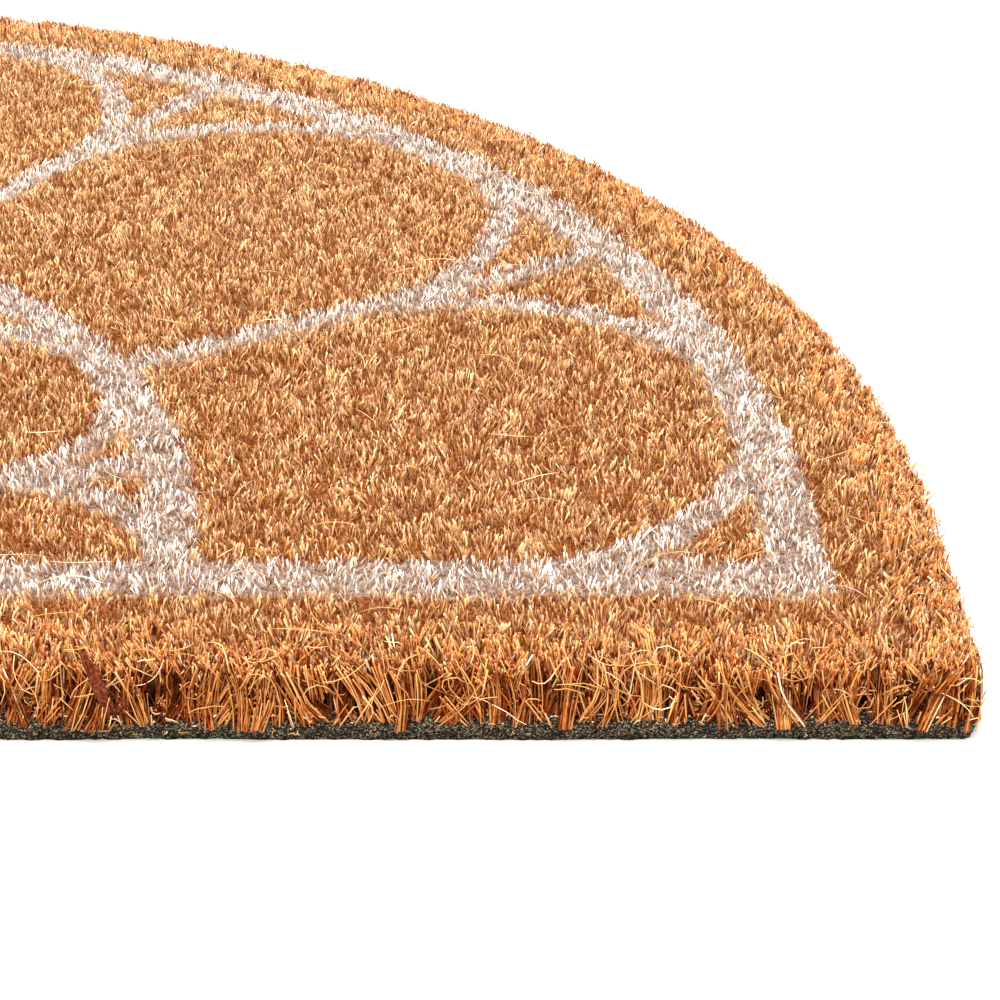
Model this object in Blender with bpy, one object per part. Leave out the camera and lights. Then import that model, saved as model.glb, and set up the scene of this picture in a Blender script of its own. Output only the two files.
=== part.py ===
"""Half-round coir doormat: a brush of coir on a charcoal vinyl backing.

The mat lies flat on the plane Z = 0. Its straight front edge faces -Y, its round edge faces +Y, and the
origin is under the middle of its bounding box. Sizes are in metres.
"""

import math
import random

import bmesh
import bpy
from mathutils import Vector
from mathutils.geometry import delaunay_2d_cdt

# Whole mat, at the upper edge of the backing
WIDTH = 0.702
DEPTH = 0.411
HEIGHT = 0.0192
RADIUS = WIDTH / 2
STRAIGHT_SIDE = DEPTH - RADIUS
FRONT_Y = -DEPTH / 2
CORNER_RADIUS = 0.004
SHARPEST_CORNER = 0.0006

# Backing: a flat sheet whose cut edge leans in towards the floor and wanders a little
BACKING_THICKNESS = 0.0058
EDGE_STEP = 0.006
CUT_LEAN = 0.0019
CUT_WANDER = 0.0004
FLAT_INSET = 0.010
EDGE_LIFT = 0.0006

# Pile: stands on the backing, with a hair's gap between the two solids
PIECE_GAP = 0.0003
PILE_FOOT = BACKING_THICKNESS + PIECE_GAP
LOCK_WIDTH = 0.0094
LOCK_WIDTH_SPREAD = 0.42
LOCK_LEAN = 0.0026
LOCK_RELIEF_LOSS = 0.45
LOCK_SINK = 0.0009
TOP_INSET = 0.0115

# Where a lock's first flank, crest and second flank stand across its width, and how far out its flanks are
FIRST_FLANK = 0.24
CREST = 0.50
SECOND_FLANK = 0.76
FLANK_RELIEF = 0.72

# Rim of the pile from foot to top: height, inset of a lock's crest, inset of the groove beside it, the share
# of the lock's sideways lean reached at that height, and the share of the depth by which a short lock sinks
RIM_ROWS = (
    {"z": PILE_FOOT, "crest": 0.0026, "groove": 0.0047, "lean": 0.0, "sink": 0.0},
    {"z": 0.0103, "crest": 0.0015, "groove": 0.0043, "lean": 0.4, "sink": 0.1},
    {"z": 0.0148, "crest": 0.0011, "groove": 0.0037, "lean": 0.8, "sink": 0.4},
    {"z": 0.0178, "crest": 0.0027, "groove": 0.0047, "lean": 1.0, "sink": 0.8},
    {"z": 0.0190, "crest": 0.0058, "groove": 0.0070, "lean": 1.0, "sink": 1.0},
)

# Lumps on the sheared top: three crossing waves, each with its length and its heading
LUMP_HEIGHT = 0.00035
LUMP_SPACING = 0.026
LUMP_SCATTER = 0.25
LUMP_CLEARANCE = 0.008
LUMP_WAVES = (
    {"length": 0.083, "heading": 0.4, "share": 0.45},
    {"length": 0.061, "heading": 1.9, "share": 0.30},
    {"length": 0.047, "heading": 2.9, "share": 0.25},
)

SEED = 41

COIR_SRGB = "C4803F"
VINYL_SRGB = "34322C"


def linear_colour(hex_code):
    """Return the linear RGBA of an sRGB hex colour."""
    channels = [int(hex_code[i:i + 2], 16) / 255 for i in (0, 2, 4)]
    linear = [c / 12.92 if c <= 0.04045 else ((c + 0.055) / 1.055) ** 2.4 for c in channels]
    return (*linear, 1.0)


def make_material(name, hex_code, roughness):
    """Return a Principled material of one colour, with no metal in it."""
    material = bpy.data.materials.new(name)
    material.use_nodes = True
    shader = material.node_tree.nodes["Principled BSDF"]
    shader.inputs["Base Color"].default_value = linear_colour(hex_code)
    shader.inputs["Roughness"].default_value = roughness
    shader.inputs["Metallic"].default_value = 0.0
    return material


def outline_pieces(inset):
    """Return the stretches of the outline at an inset, anticlockwise from the left end of the front edge.

    Each stretch is a length and a function from 0..1 along it to a point. Corners are quarter rounds, and
    the back is a half circle, so that the same share along a stretch is the same place at any inset.
    """
    half = RADIUS - inset
    front = FRONT_Y + inset
    shoulder_y = FRONT_Y + STRAIGHT_SIDE
    corner = max(CORNER_RADIUS - inset, SHARPEST_CORNER)

    def line(x0, y0, x1, y1):
        return math.hypot(x1 - x0, y1 - y0), lambda t: (x0 + (x1 - x0) * t, y0 + (y1 - y0) * t)

    def arc(cx, cy, radius, start, sweep):
        def point(t):
            angle = start + sweep * t
            return cx + radius * math.cos(angle), cy + radius * math.sin(angle)
        return radius * sweep, point

    return (
        line(-half + corner, front, half - corner, front),
        arc(half - corner, front + corner, corner, -math.pi / 2, math.pi / 2),
        line(half, front + corner, half, shoulder_y),
        arc(0.0, shoulder_y, half, 0.0, math.pi),
        line(-half, shoulder_y, -half, front + corner),
        arc(-half + corner, front + corner, corner, math.pi, math.pi / 2),
    )


OUTER_LENGTHS = [length for length, _ in outline_pieces(0.0)]
OUTER_LENGTH = sum(OUTER_LENGTHS)


def outline_point(distance, inset):
    """Return the point at an inset that faces a distance along the outermost outline."""
    rest = distance % OUTER_LENGTH
    for length, (_, point) in zip(OUTER_LENGTHS, outline_pieces(inset)):
        if rest <= length:
            return point(rest / length)
        rest -= length
    return outline_pieces(inset)[0][1](0.0)


def spread_evenly(count):
    """Return distances along the outline, an even step apart."""
    return [OUTER_LENGTH * i / count for i in range(count)]


def add_ring(mesh, points):
    """Add a ring of vertices to a mesh and return them."""
    return [mesh.verts.new(Vector(point)) for point in points]


def join_rings(mesh, lower, upper):
    """Join two rings of equal count with a band of faces that look outwards."""
    count = len(lower)
    for i in range(count):
        j = (i + 1) % count
        mesh.faces.new((lower[i], lower[j], upper[j], upper[i]))


def finish_object(name, mesh, material):
    """Turn a closed bmesh into a smooth-shaded object of that name."""
    bmesh.ops.triangulate(mesh, faces=mesh.faces[:])
    bmesh.ops.recalc_face_normals(mesh, faces=mesh.faces[:])
    data = bpy.data.meshes.new(name)
    mesh.to_mesh(data)
    mesh.free()
    data.materials.append(material)
    data.shade_smooth()
    data.set_sharp_from_angle(angle=math.radians(50))
    piece = bpy.data.objects.new(name, data)
    bpy.context.scene.collection.objects.link(piece)
    return piece


def wander(distance, waves):
    """Return a smooth value in -1..1 that closes on itself along the outline."""
    turn = 2 * math.pi * distance / OUTER_LENGTH
    total = sum(share for _, _, share in waves)
    return sum(share * math.sin(count * turn + phase) for count, phase, share in waves) / total


def random_waves(rng, counts):
    """Return waves round the outline: how many fit, where each starts, and its share."""
    return [(count, rng.uniform(0, 2 * math.pi), rng.uniform(0.5, 1.0)) for count in counts]


def build_backing(material, rng):
    """Build the vinyl sheet: flat below and above, with a leaning, hand-cut edge."""
    stations = spread_evenly(round(OUTER_LENGTH / EDGE_STEP))
    cut_waves = random_waves(rng, (9, 23, 41, 67))
    low_waves = random_waves(rng, (7, 19, 37, 71))
    lift_waves = random_waves(rng, (3, 5, 8, 13))

    def cut(distance):
        return CUT_WANDER * (1 + wander(distance, cut_waves)) / 2

    def low_cut(distance):
        return CUT_LEAN + CUT_WANDER * wander(distance, low_waves)

    def lift(distance):
        return EDGE_LIFT * max(0.0, wander(distance, lift_waves))

    mesh = bmesh.new()
    flat = add_ring(mesh, [(*outline_point(s, FLAT_INSET), 0.0) for s in stations])
    lower = add_ring(mesh, [(*outline_point(s, low_cut(s)), lift(s)) for s in stations])
    upper = add_ring(mesh, [(*outline_point(s, cut(s)), BACKING_THICKNESS) for s in stations])
    join_rings(mesh, flat, lower)
    join_rings(mesh, lower, upper)
    mesh.faces.new(upper)
    mesh.faces.new(list(reversed(flat)))
    return finish_object("vinyl_backing", mesh, material)


def lay_out_locks(rng):
    """Return the locks round the rim: where each starts and ends, its lean, and how far it stands out."""
    widths = []
    while sum(widths) < OUTER_LENGTH - LOCK_WIDTH / 2:
        widths.append(LOCK_WIDTH * (1 + rng.uniform(-LOCK_WIDTH_SPREAD, LOCK_WIDTH_SPREAD)))
    fit = OUTER_LENGTH / sum(widths)
    locks = []
    start = 0.0
    for width in widths:
        end = start + width * fit
        locks.append({
            "start": start,
            "end": end,
            "lean": rng.uniform(-LOCK_LEAN, LOCK_LEAN),
            "relief": 1 - rng.uniform(0.0, LOCK_RELIEF_LOSS),
            "sink": rng.uniform(0.0, LOCK_SINK),
        })
        start = end
    return locks


def rim_columns(locks):
    """Return four columns for each lock: its groove, a flank, its crest and its other flank.

    A column has its distance along the outline, its sideways lean, how much of a crest it is, and how far
    its top sinks.
    """
    columns = []
    for i, lock in enumerate(locks):
        before = locks[i - 1]
        after = locks[(i + 1) % len(locks)]
        width = lock["end"] - lock["start"]
        groove_lean = (before["lean"] + lock["lean"]) / 2
        next_lean = (lock["lean"] + after["lean"]) / 2
        groove_sink = (before["sink"] + lock["sink"] + LOCK_SINK) / 3
        flank_relief = FLANK_RELIEF * lock["relief"]
        stations = (
            (0.0, groove_lean, 0.0, groove_sink),
            (FIRST_FLANK, (groove_lean + lock["lean"]) / 2, flank_relief, lock["sink"]),
            (CREST, lock["lean"], lock["relief"], lock["sink"]),
            (SECOND_FLANK, (lock["lean"] + next_lean) / 2, flank_relief, lock["sink"]),
        )
        for share, lean, relief, sink in stations:
            columns.append({"at": lock["start"] + share * width, "lean": lean, "crest": relief, "sink": sink})
    return columns


def top_height(x, y):
    """Return the height of the sheared top at a place."""
    wave = sum(
        lump["share"] * math.sin(
            2 * math.pi * (x * math.cos(lump["heading"]) + y * math.sin(lump["heading"])) / lump["length"]
        )
        for lump in LUMP_WAVES
    )
    return HEIGHT - LUMP_HEIGHT + LUMP_HEIGHT * wave


def rim_point(column, row):
    """Return the point of a column at a row of the rim."""
    inset = row["groove"] + (row["crest"] - row["groove"]) * column["crest"]
    height = row["z"] - column["sink"] * row["sink"]
    return (*outline_point(column["at"] + column["lean"] * row["lean"], inset), height)


def inside_top(x, y, inset):
    """Say whether a place lies inside the outline at an inset."""
    half = RADIUS - inset
    shoulder_y = FRONT_Y + STRAIGHT_SIDE
    if y < FRONT_Y + inset or abs(x) > half:
        return False
    return y < shoulder_y or math.hypot(x, y - shoulder_y) < half


def lump_places(rng):
    """Return places spread over the top, on a loosened triangular grid."""
    row_step = LUMP_SPACING * math.sqrt(3) / 2
    rows = math.ceil(DEPTH / row_step)
    steps = math.ceil(WIDTH / LUMP_SPACING) + 1
    places = []
    for row in range(rows):
        for step in range(steps):
            x = -RADIUS + LUMP_SPACING * (step + (row % 2) / 2 + rng.uniform(-LUMP_SCATTER, LUMP_SCATTER))
            y = FRONT_Y + row_step * (row + 1 / 2 + rng.uniform(-LUMP_SCATTER, LUMP_SCATTER))
            if inside_top(x, y, TOP_INSET + LUMP_CLEARANCE):
                places.append((x, y))
    return places


def build_pile(material, rng):
    """Build the coir brush: leaning locks round the rim, a rounded shoulder and a faintly lumpy top."""
    columns = rim_columns(lay_out_locks(rng))
    mesh = bmesh.new()
    rings = [add_ring(mesh, [rim_point(column, row) for column in columns]) for row in RIM_ROWS]

    edge = [outline_point(column["at"] + column["lean"], TOP_INSET) for column in columns]
    rings.append(add_ring(mesh, [(x, y, top_height(x, y)) for x, y in edge]))
    for lower, upper in zip(rings, rings[1:]):
        join_rings(mesh, lower, upper)
    mesh.faces.new(list(reversed(rings[0])))

    places = lump_places(rng)
    flat_points = [Vector(point) for point in edge + places]
    boundary = list(range(len(edge)))
    sides = [(i, (i + 1) % len(edge)) for i in boundary]
    filled = delaunay_2d_cdt(flat_points, sides, [boundary], 1, 1e-7)
    lumps = add_ring(mesh, [(x, y, top_height(x, y)) for x, y in places])
    top_vertices = rings[-1] + lumps
    sources = filled[3]
    for face in filled[2]:
        mesh.faces.new([top_vertices[sources[i][0]] for i in face])
    return finish_object("coir_pile", mesh, material)


def clear_scene():
    """Remove every object from the scene."""
    for item in list(bpy.data.objects):
        bpy.data.objects.remove(item, do_unlink=True)


def build_mat():
    """Build the backing and the pile, both under one empty at the mat's origin."""
    clear_scene()
    rng = random.Random(SEED)
    mat = bpy.data.objects.new("half_round_mat", None)
    bpy.context.scene.collection.objects.link(mat)
    backing = build_backing(make_material("charcoal_vinyl", VINYL_SRGB, 0.85), rng)
    pile = build_pile(make_material("coir_fibre", COIR_SRGB, 0.75), rng)
    for piece in (backing, pile):
        piece.parent = mat


build_mat()
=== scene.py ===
"""A half-round coir doormat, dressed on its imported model.

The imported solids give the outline, the thicknesses and the locks of the pile. Over them come a granular
vinyl slab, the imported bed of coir, the sheared fibre tips, the brush of long strands round the rim, the
strands that splay over its shoulder, loose curly fibres, crumbs of fibre on the backing's ledge and flakes
of pith. The pale line work is printed on the tips.
"""
import logging
import math
from dataclasses import dataclass, field, fields, replace
from enum import Enum
from typing import Any, Sequence

import bpy
import numpy as np
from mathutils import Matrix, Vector
from mathutils.bvhtree import BVHTree
from mathutils.geometry import delaunay_2d_cdt


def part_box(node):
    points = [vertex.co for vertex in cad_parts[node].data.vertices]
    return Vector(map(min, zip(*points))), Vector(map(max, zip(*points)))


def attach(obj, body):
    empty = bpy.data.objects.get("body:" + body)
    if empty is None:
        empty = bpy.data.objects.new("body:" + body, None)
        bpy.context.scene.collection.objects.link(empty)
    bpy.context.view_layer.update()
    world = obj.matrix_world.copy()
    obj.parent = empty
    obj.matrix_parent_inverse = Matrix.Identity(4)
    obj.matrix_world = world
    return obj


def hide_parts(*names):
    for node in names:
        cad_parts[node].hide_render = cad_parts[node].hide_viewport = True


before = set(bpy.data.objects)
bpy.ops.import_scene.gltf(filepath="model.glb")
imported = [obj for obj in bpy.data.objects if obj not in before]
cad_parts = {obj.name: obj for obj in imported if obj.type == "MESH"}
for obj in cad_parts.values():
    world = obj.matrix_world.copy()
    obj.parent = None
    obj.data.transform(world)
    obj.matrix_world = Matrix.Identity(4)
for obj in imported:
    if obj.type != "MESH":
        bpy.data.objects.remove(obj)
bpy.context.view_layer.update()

Array = np.ndarray
Rng = np.random.Generator
# Two sizes, mostly the least and the most of one that varies. Fields named widths count in units of width
Range = tuple[float, float]
Stops = tuple[tuple[float, str], ...]
MM = 0.001
TURN = 2 * math.pi
UP = np.array([0.0, 0.0, 1.0])
BODY = "root"
COLOUR_MAP = "OFBake"
# A distance beyond all of the mat, in metres
FAR = 1.0
# A direction whose larger part is over this runs straight along an axis
STRAIGHT = 0.9999
# Turns a direction slightly off the axes, so that no path runs exactly along it
OFF_AXIS = 0.01

log = logging.getLogger("coir_doormat")


def linear(colour: str) -> tuple[float, float, float, float]:
    """Turn an sRGB hex colour into the linear colour that a shader takes.

    Args:
        colour: six hex digits, such as "C8823F".

    Returns:
        Red, green, blue and an alpha of 1.
    """
    parts = [int(colour[i:i + 2], 16) / 255 for i in (0, 2, 4)]
    red, green, blue = (p / 12.92 if p <= 0.04045 else ((p + 0.055) / 1.055) ** 2.4 for p in parts)
    return red, green, blue, 1.0


def add_node(
    tree: bpy.types.NodeTree,
    kind: str,
    inputs: dict[str | int, Any] | None = None,
    stops: Sequence[tuple[float, str]] = (),
    **settings: Any,
) -> bpy.types.Node:
    """Add one shader node with its settings and its links.

    Args:
        tree: the material's node tree.
        kind: the node's type, such as "ShaderNodeTexNoise".
        inputs: a value, or the output socket to link, for each input by its name or number.
        stops: for a colour ramp, each stop's place and hex colour.
        **settings: the node's own properties.

    Returns:
        The new node.
    """
    node = tree.nodes.new(kind)
    for name, value in settings.items():
        setattr(node, name, value)
    for socket, value in (inputs or {}).items():
        if isinstance(value, bpy.types.NodeSocket):
            tree.links.new(value, node.inputs[socket])
        else:
            node.inputs[socket].default_value = value
    for number, (place, colour) in enumerate(stops):
        ramp = node.color_ramp.elements
        stop = ramp[number] if number < len(ramp) else ramp.new(place)
        stop.position = place
        stop.color = linear(colour)
    return node


def new_material(name: str) -> tuple[bpy.types.Material, bpy.types.NodeTree]:
    """Make an empty node material.

    Args:
        name: the finish's name.

    Returns:
        The material and its node tree.
    """
    material = bpy.data.materials.new(name)
    material.use_nodes = True
    material.node_tree.nodes.clear()
    return material, material.node_tree


def smooth_step(value: Array, low: float, high: float) -> Array:
    """Rise smoothly from 0 at low to 1 at high."""
    t = np.clip((value - low) / (high - low), 0.0, 1.0)
    return t * t * (3.0 - 2.0 * t)


def unit(vectors: Array) -> Array:
    """Scale each vector to length 1."""
    return vectors / np.maximum(np.linalg.norm(vectors, axis=-1, keepdims=True), 1e-12)


@dataclass(frozen=True)
class Ripples:
    """A smooth seeded unevenness over the mat, about -1 to 1: plane waves in scattered directions."""

    wavelength: float  # The middle wavelength, in metres
    seed: int
    waves: int = 10  # How many waves add up
    lengths: Range = (0.7, 1.6)  # The shortest and the longest wave, per unit of the middle wavelength

    def at(self, x: Array, y: Array) -> Array:
        """Read the unevenness.

        Args:
            x: places across the mat, or along its edge.
            y: places from front to back, or from the edge inwards.

        Returns:
            One value for each place.
        """
        rng = np.random.default_rng(self.seed)
        total = np.zeros(np.broadcast(x, y).shape)
        for _ in range(self.waves):
            heading, phase = rng.uniform(0, TURN, 2)
            number = TURN / (self.wavelength * rng.uniform(*self.lengths))
            total += np.cos(number * (math.cos(heading) * x + math.sin(heading) * y) + phase)
        return total / math.sqrt(2 * self.waves)


@dataclass(frozen=True)
class EdgePlaces:
    """Places on the mat's edge."""

    points: Array
    outward: Array  # For each, the direction straight out of the mat

    @property
    def forward(self) -> Array:
        """The directions along the edge, anticlockwise."""
        return np.stack([-self.outward[:, 1], self.outward[:, 0]], -1)

    @property
    def level_out(self) -> Array:
        """The outward directions with a height of 0."""
        return np.column_stack([self.outward, np.zeros(len(self.outward))])

    @property
    def level_forward(self) -> Array:
        """The directions along the edge with a height of 0."""
        return np.column_stack([self.forward, np.zeros(len(self.outward))])

    def pick(self, numbers: Array) -> "EdgePlaces":
        """Take the places with these numbers."""
        return EdgePlaces(self.points[numbers], self.outward[numbers])

    def inside(self, inset: Array) -> Array:
        """Step straight into the mat from each place."""
        return self.points - self.outward * inset[:, None]

    def at(self, across: Array, inset: Array) -> Array:
        """Step along the edge and into the mat.

        Args:
            across: how far along the edge, for each place or for each point of a path that starts there.
            inset: how far in, like across.

        Returns:
            Where the steps lead.
        """
        start = (slice(None),) + (None,) * (across.ndim - 1)
        along = self.points[start] + self.forward[start] * across[..., None]
        return along - self.outward[start] * inset[..., None]


@dataclass(frozen=True)
class Outline:
    """The mat's outline in plan: a straight front, two short straight sides and a half circle."""

    front: float  # The y of the front edge
    radius: float
    side: float
    corner: float = 4.0 * MM  # The radius of the two front corners
    least_corner: float = 1.0 * MM  # The radius that the corners keep on an outline further in

    @classmethod
    def of_node(cls, node: str) -> "Outline":
        """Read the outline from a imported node's box.

        Args:
            node: the node's name.

        Returns:
            The outline that fits the box.
        """
        low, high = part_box(node)
        radius = (high.x - low.x) / 2
        return cls(front=low.y, radius=radius, side=high.y - low.y - radius)

    @property
    def shoulder(self) -> float:
        """The y where the half circle begins."""
        return self.front + self.side

    @property
    def runs(self) -> list[float]:
        """The lengths of the edge's stretches, anticlockwise.

        Returns:
            The lengths of front, corner, side, half circle, side and corner.
        """
        bend = math.pi / 2 * self.corner
        upright = self.side - self.corner
        return [2 * (self.radius - self.corner), bend, upright, math.pi * self.radius, upright, bend]

    @property
    def length(self) -> float:
        """The length all round."""
        return sum(self.runs)

    @property
    def area(self) -> float:
        """The area in plan, in square metres."""
        corners = (2 - math.pi / 2) * self.corner ** 2
        return math.pi / 2 * self.radius ** 2 + 2 * self.radius * self.side - corners

    def inset(self, x: Array, y: Array) -> Array:
        """How far inside the edge each place is; it is negative outside."""
        return np.minimum(self.radius - np.hypot(x, np.maximum(y - self.shoulder, 0.0)), y - self.front)

    def inner(self, inset: float) -> "Outline":
        """The outline that runs this far inside this one."""
        corner = max(self.corner - inset, self.least_corner)
        return replace(
            self, front=self.front + inset, radius=self.radius - inset, side=self.side - inset, corner=corner)

    def on_corner(self, places: EdgePlaces) -> Array:
        """Whether each place is on one of the two round front corners."""
        slanting = np.abs(places.outward).max(-1) < STRAIGHT
        return slanting & (places.points[:, 1] < self.front + self.corner)

    def walk(self, distance: Array) -> EdgePlaces:
        """Go along the edge, anticlockwise from the front left corner.

        Args:
            distance: how far along, for each place.

        Returns:
            The places on the edge.
        """
        r, c = self.radius, self.corner
        low, mid = self.front, self.shoulder
        starts = np.concatenate(([0.0], np.cumsum(self.runs)))
        s = np.mod(distance, starts[-1])
        bounds = [(s >= a) & (s < b) for a, b in zip(starts[:-1], starts[1:])]
        t = [s - a for a in starts[:-1]]
        bend = [-math.pi / 2 + t[1] / c, t[3] / r, math.pi + t[5] / c]
        still = np.zeros_like(s)
        x = np.select(bounds, [
            t[0] - (r - c), r - c + c * np.cos(bend[0]), still + r,
            r * np.cos(bend[1]), still - r, c - r + c * np.cos(bend[2])])
        y = np.select(bounds, [
            still + low, low + c + c * np.sin(bend[0]), low + c + t[2],
            mid + r * np.sin(bend[1]), mid - t[4], low + c + c * np.sin(bend[2])])
        out_x = np.select(bounds, [
            still, np.cos(bend[0]), still + 1, np.cos(bend[1]), still - 1, np.cos(bend[2])])
        out_y = np.select(bounds, [
            still - 1, np.sin(bend[0]), still, np.sin(bend[1]), still, np.sin(bend[2])])
        return EdgePlaces(np.stack([x, y], -1), np.stack([out_x, out_y], -1))


@dataclass
class Solid:
    """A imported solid's surface, asked how far out and how high it reaches."""

    node: str
    tree: BVHTree = field(init=False)

    def __post_init__(self) -> None:
        """Sort the solid's faces for quick rays."""
        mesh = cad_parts[self.node].data
        self.tree = BVHTree.FromPolygons([v.co for v in mesh.vertices], [p.vertices for p in mesh.polygons])

    def edge(self, outline: Outline, distance: Array, height: Array, away: float = 20 * MM) -> Array:
        """How far inside the mat's outline the solid's side is.

        Args:
            outline: the mat's outline.
            distance: places along the outline.
            height: the height at each place.
            away: how far outside each ray starts.

        Returns:
            The inset of the side at each place.
        """
        places = outline.walk(distance)
        found = np.zeros(len(distance))
        for i, (point, out, z) in enumerate(zip(places.points, places.outward, height)):
            start = Vector((*(point + out * away), z))
            hit = self.tree.ray_cast(start, Vector((-out[0], -out[1], 0.0)))
            found[i] = away if hit[0] is None else hit[3]
        return found - away

    def top(self, x: Array, y: Array, missing: float) -> Array:
        """The height of the solid's top under each place, or missing where there is none.

        Args:
            x: each place's distance across.
            y: each place's distance back.
            missing: the height given where there is none.

        Returns:
            One height for each place.
        """
        found = np.full(len(x), missing)
        for i, place in enumerate(zip(x, y)):
            hit = self.tree.ray_cast(Vector((*place, FAR)), Vector((0.0, 0.0, -1.0)))
            if hit[0] is not None:
                found[i] = hit[0].z
        return found


@dataclass
class PileTop:
    """How high the pile is sheared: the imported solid's lumps inside, and a round shoulder at the rim."""

    outline: Outline
    solid: Solid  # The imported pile
    drop: float = 3.2 * MM  # How far the shoulder comes down
    shoulder: Range = (-2.0 * MM, 8.0 * MM)  # The insets between which it comes down
    lumps: Range = (6.0 * MM, 10.0 * MM)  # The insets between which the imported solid's lumps set in
    measured: float = 20 * MM  # How far in the lumps' mean height is measured
    readings: int = 300  # At how many places
    level: float = field(init=False)  # The lumps' mean height

    def __post_init__(self) -> None:
        """Measure the lumps' mean height."""
        inner = self.outline.inner(self.measured)
        places = inner.walk(np.linspace(0, inner.length, self.readings))
        self.level = float(np.nanmean(self.solid.top(*places.points.T, math.nan)))

    def rounded(self, x: Array, y: Array) -> Array:
        """The height without the lumps."""
        return self.level - self.drop * (1 - smooth_step(self.outline.inset(x, y), *self.shoulder))

    def at(self, x: Array, y: Array) -> Array:
        """The height of the sheared tips at each place."""
        lump = self.solid.top(x, y, self.level) - self.level
        return self.rounded(x, y) + lump * smooth_step(self.outline.inset(x, y), *self.lumps)


class Line(Enum):
    """The printed lines, each with its width."""

    BORDER = 13.0 * MM
    RING = 11.0 * MM
    SPOKE = 8.6 * MM
    ARCH = 8.2 * MM


@dataclass(frozen=True)
class LineWork:
    """The fanlight printed on the tips: a border, half rings, spokes and round-headed arches."""

    outline: Outline
    border: float = 33 * MM  # How far in the border's middle runs
    ring: float = 190 * MM  # The radius of the outer half ring
    hub: float = 76 * MM  # The radius of the inner half ring
    bay: float = math.radians(30)  # The angle between two spokes

    def arch(self, along: Array, aside: Array, reach: Array) -> Array:
        """How far each place is from a round-headed arch between two spokes.

        Args:
            along: places along the bay's middle, from the fan's centre.
            aside: places across it.
            reach: how far out the arch's head touches.

        Returns:
            The distances to the arch's line, large below its springing.
        """
        slope = math.sin(self.bay / 2)
        centre = reach / (1 + slope)
        radius = centre * slope
        away = np.abs(np.hypot(along - centre, aside) - radius)
        return np.where(along - centre > -radius * slope, away, FAR)

    def depth(self, x: Array, y: Array) -> Array:
        """How far inside the nearest printed line each place is.

        Args:
            x: each place's distance across.
            y: each place's distance back.

        Returns:
            One depth for each place, negative between the lines.
        """
        inset = self.outline.inset(x, y)
        border = Line.BORDER.value / 2 - np.abs(inset - self.border)
        rise = y - (self.outline.front + self.border)
        r, angle = np.hypot(x, rise), np.arctan2(rise, x)
        nearest = np.round(angle / self.bay) * self.bay
        middle = (np.floor(angle / self.bay) + 0.5) * self.bay
        drop = self.border - self.outline.side
        far = self.outline.radius - self.border
        reach = -drop * np.sin(middle) + np.sqrt(far ** 2 - (drop * np.cos(middle)) ** 2)
        outer, inner = r > self.ring, (r <= self.ring) & (r > self.hub)
        spoke = np.where(outer, r * np.abs(np.sin(angle - nearest)), FAR)
        inner_spoke = np.where(inner, r * np.abs(np.sin(angle - middle)), FAR)
        arch = self.arch(r * np.cos(angle - middle), r * np.sin(angle - middle), reach)
        inner_arch = self.arch(r * np.cos(angle - nearest), r * np.sin(angle - nearest), self.ring)
        arch = np.minimum(np.where(outer, arch, FAR), np.where(inner, inner_arch, FAR))
        rings = np.minimum(np.abs(r - self.ring), np.abs(r - self.hub))
        fan = np.maximum.reduce([
            Line.RING.value / 2 - rings,
            Line.SPOKE.value / 2 - np.minimum(spoke, inner_spoke),
            Line.ARCH.value / 2 - arch])
        return np.maximum(border, np.where(inset > self.border, fan, -FAR))


def make_piece(
    name: str,
    points: Array,
    faces: Sequence[Array],
    material: bpy.types.Material,
    squares: Sequence[Array] = (),
) -> bpy.types.Object:
    """Make one mesh piece that rides on the mat.

    Args:
        name: the piece's name.
        points: its points, in metres.
        faces: arrays of faces, each with one number of corners.
        material: its finish.
        squares: the faces' corners on the colour map, like faces.

    Returns:
        The new object.
    """
    mesh = bpy.data.meshes.new(name)
    corners = np.concatenate([f.ravel() for f in faces])
    sizes = np.concatenate([np.full(len(f), f.shape[1]) for f in faces])
    mesh.vertices.add(len(points))
    mesh.vertices.foreach_set("co", points.astype(np.float32).ravel())
    mesh.loops.add(len(corners))
    mesh.loops.foreach_set("vertex_index", corners.astype(np.int32))
    mesh.polygons.add(len(sizes))
    mesh.polygons.foreach_set("loop_start", (np.cumsum(sizes) - sizes).astype(np.int32))
    mesh.update(calc_edges=True)
    if squares:
        layer = mesh.uv_layers.new(name=COLOUR_MAP)
        layer.uv.foreach_set("vector", np.concatenate([s.ravel() for s in squares]).astype(np.float32))
    mesh.shade_smooth()
    mesh.materials.append(material)
    piece = bpy.data.objects.new(name, mesh)
    bpy.context.scene.collection.objects.link(piece)
    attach(piece, BODY)
    return piece


@dataclass
class Strands:
    """Many strands as arrays, before they become one mesh."""

    points: Array
    faces: list[Array]  # Arrays of faces, one for each number of corners
    squares: list[Array]  # The faces' corners on the colour map, like faces
    fibre: Array  # Tone, place along the strand and print, for each point
    side: Array | None = None  # The place across a flat fibre, for each point, if the fibres are flat

    def piece(self, name: str, material: bpy.types.Material) -> bpy.types.Object:
        """Make the strands one mesh that rides on the mat.

        Args:
            name: the piece's name.
            material: its finish.

        Returns:
            The new object.
        """
        piece = make_piece(name, self.points, self.faces, material, self.squares)
        place = piece.data.attributes.new("fibre", "FLOAT_VECTOR", "POINT")
        place.data.foreach_set("vector", self.fibre.astype(np.float32).ravel())
        if self.side is not None:
            across = piece.data.attributes.new("side", "FLOAT", "POINT")
            across.data.foreach_set("value", self.side.astype(np.float32))
        return piece


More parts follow.
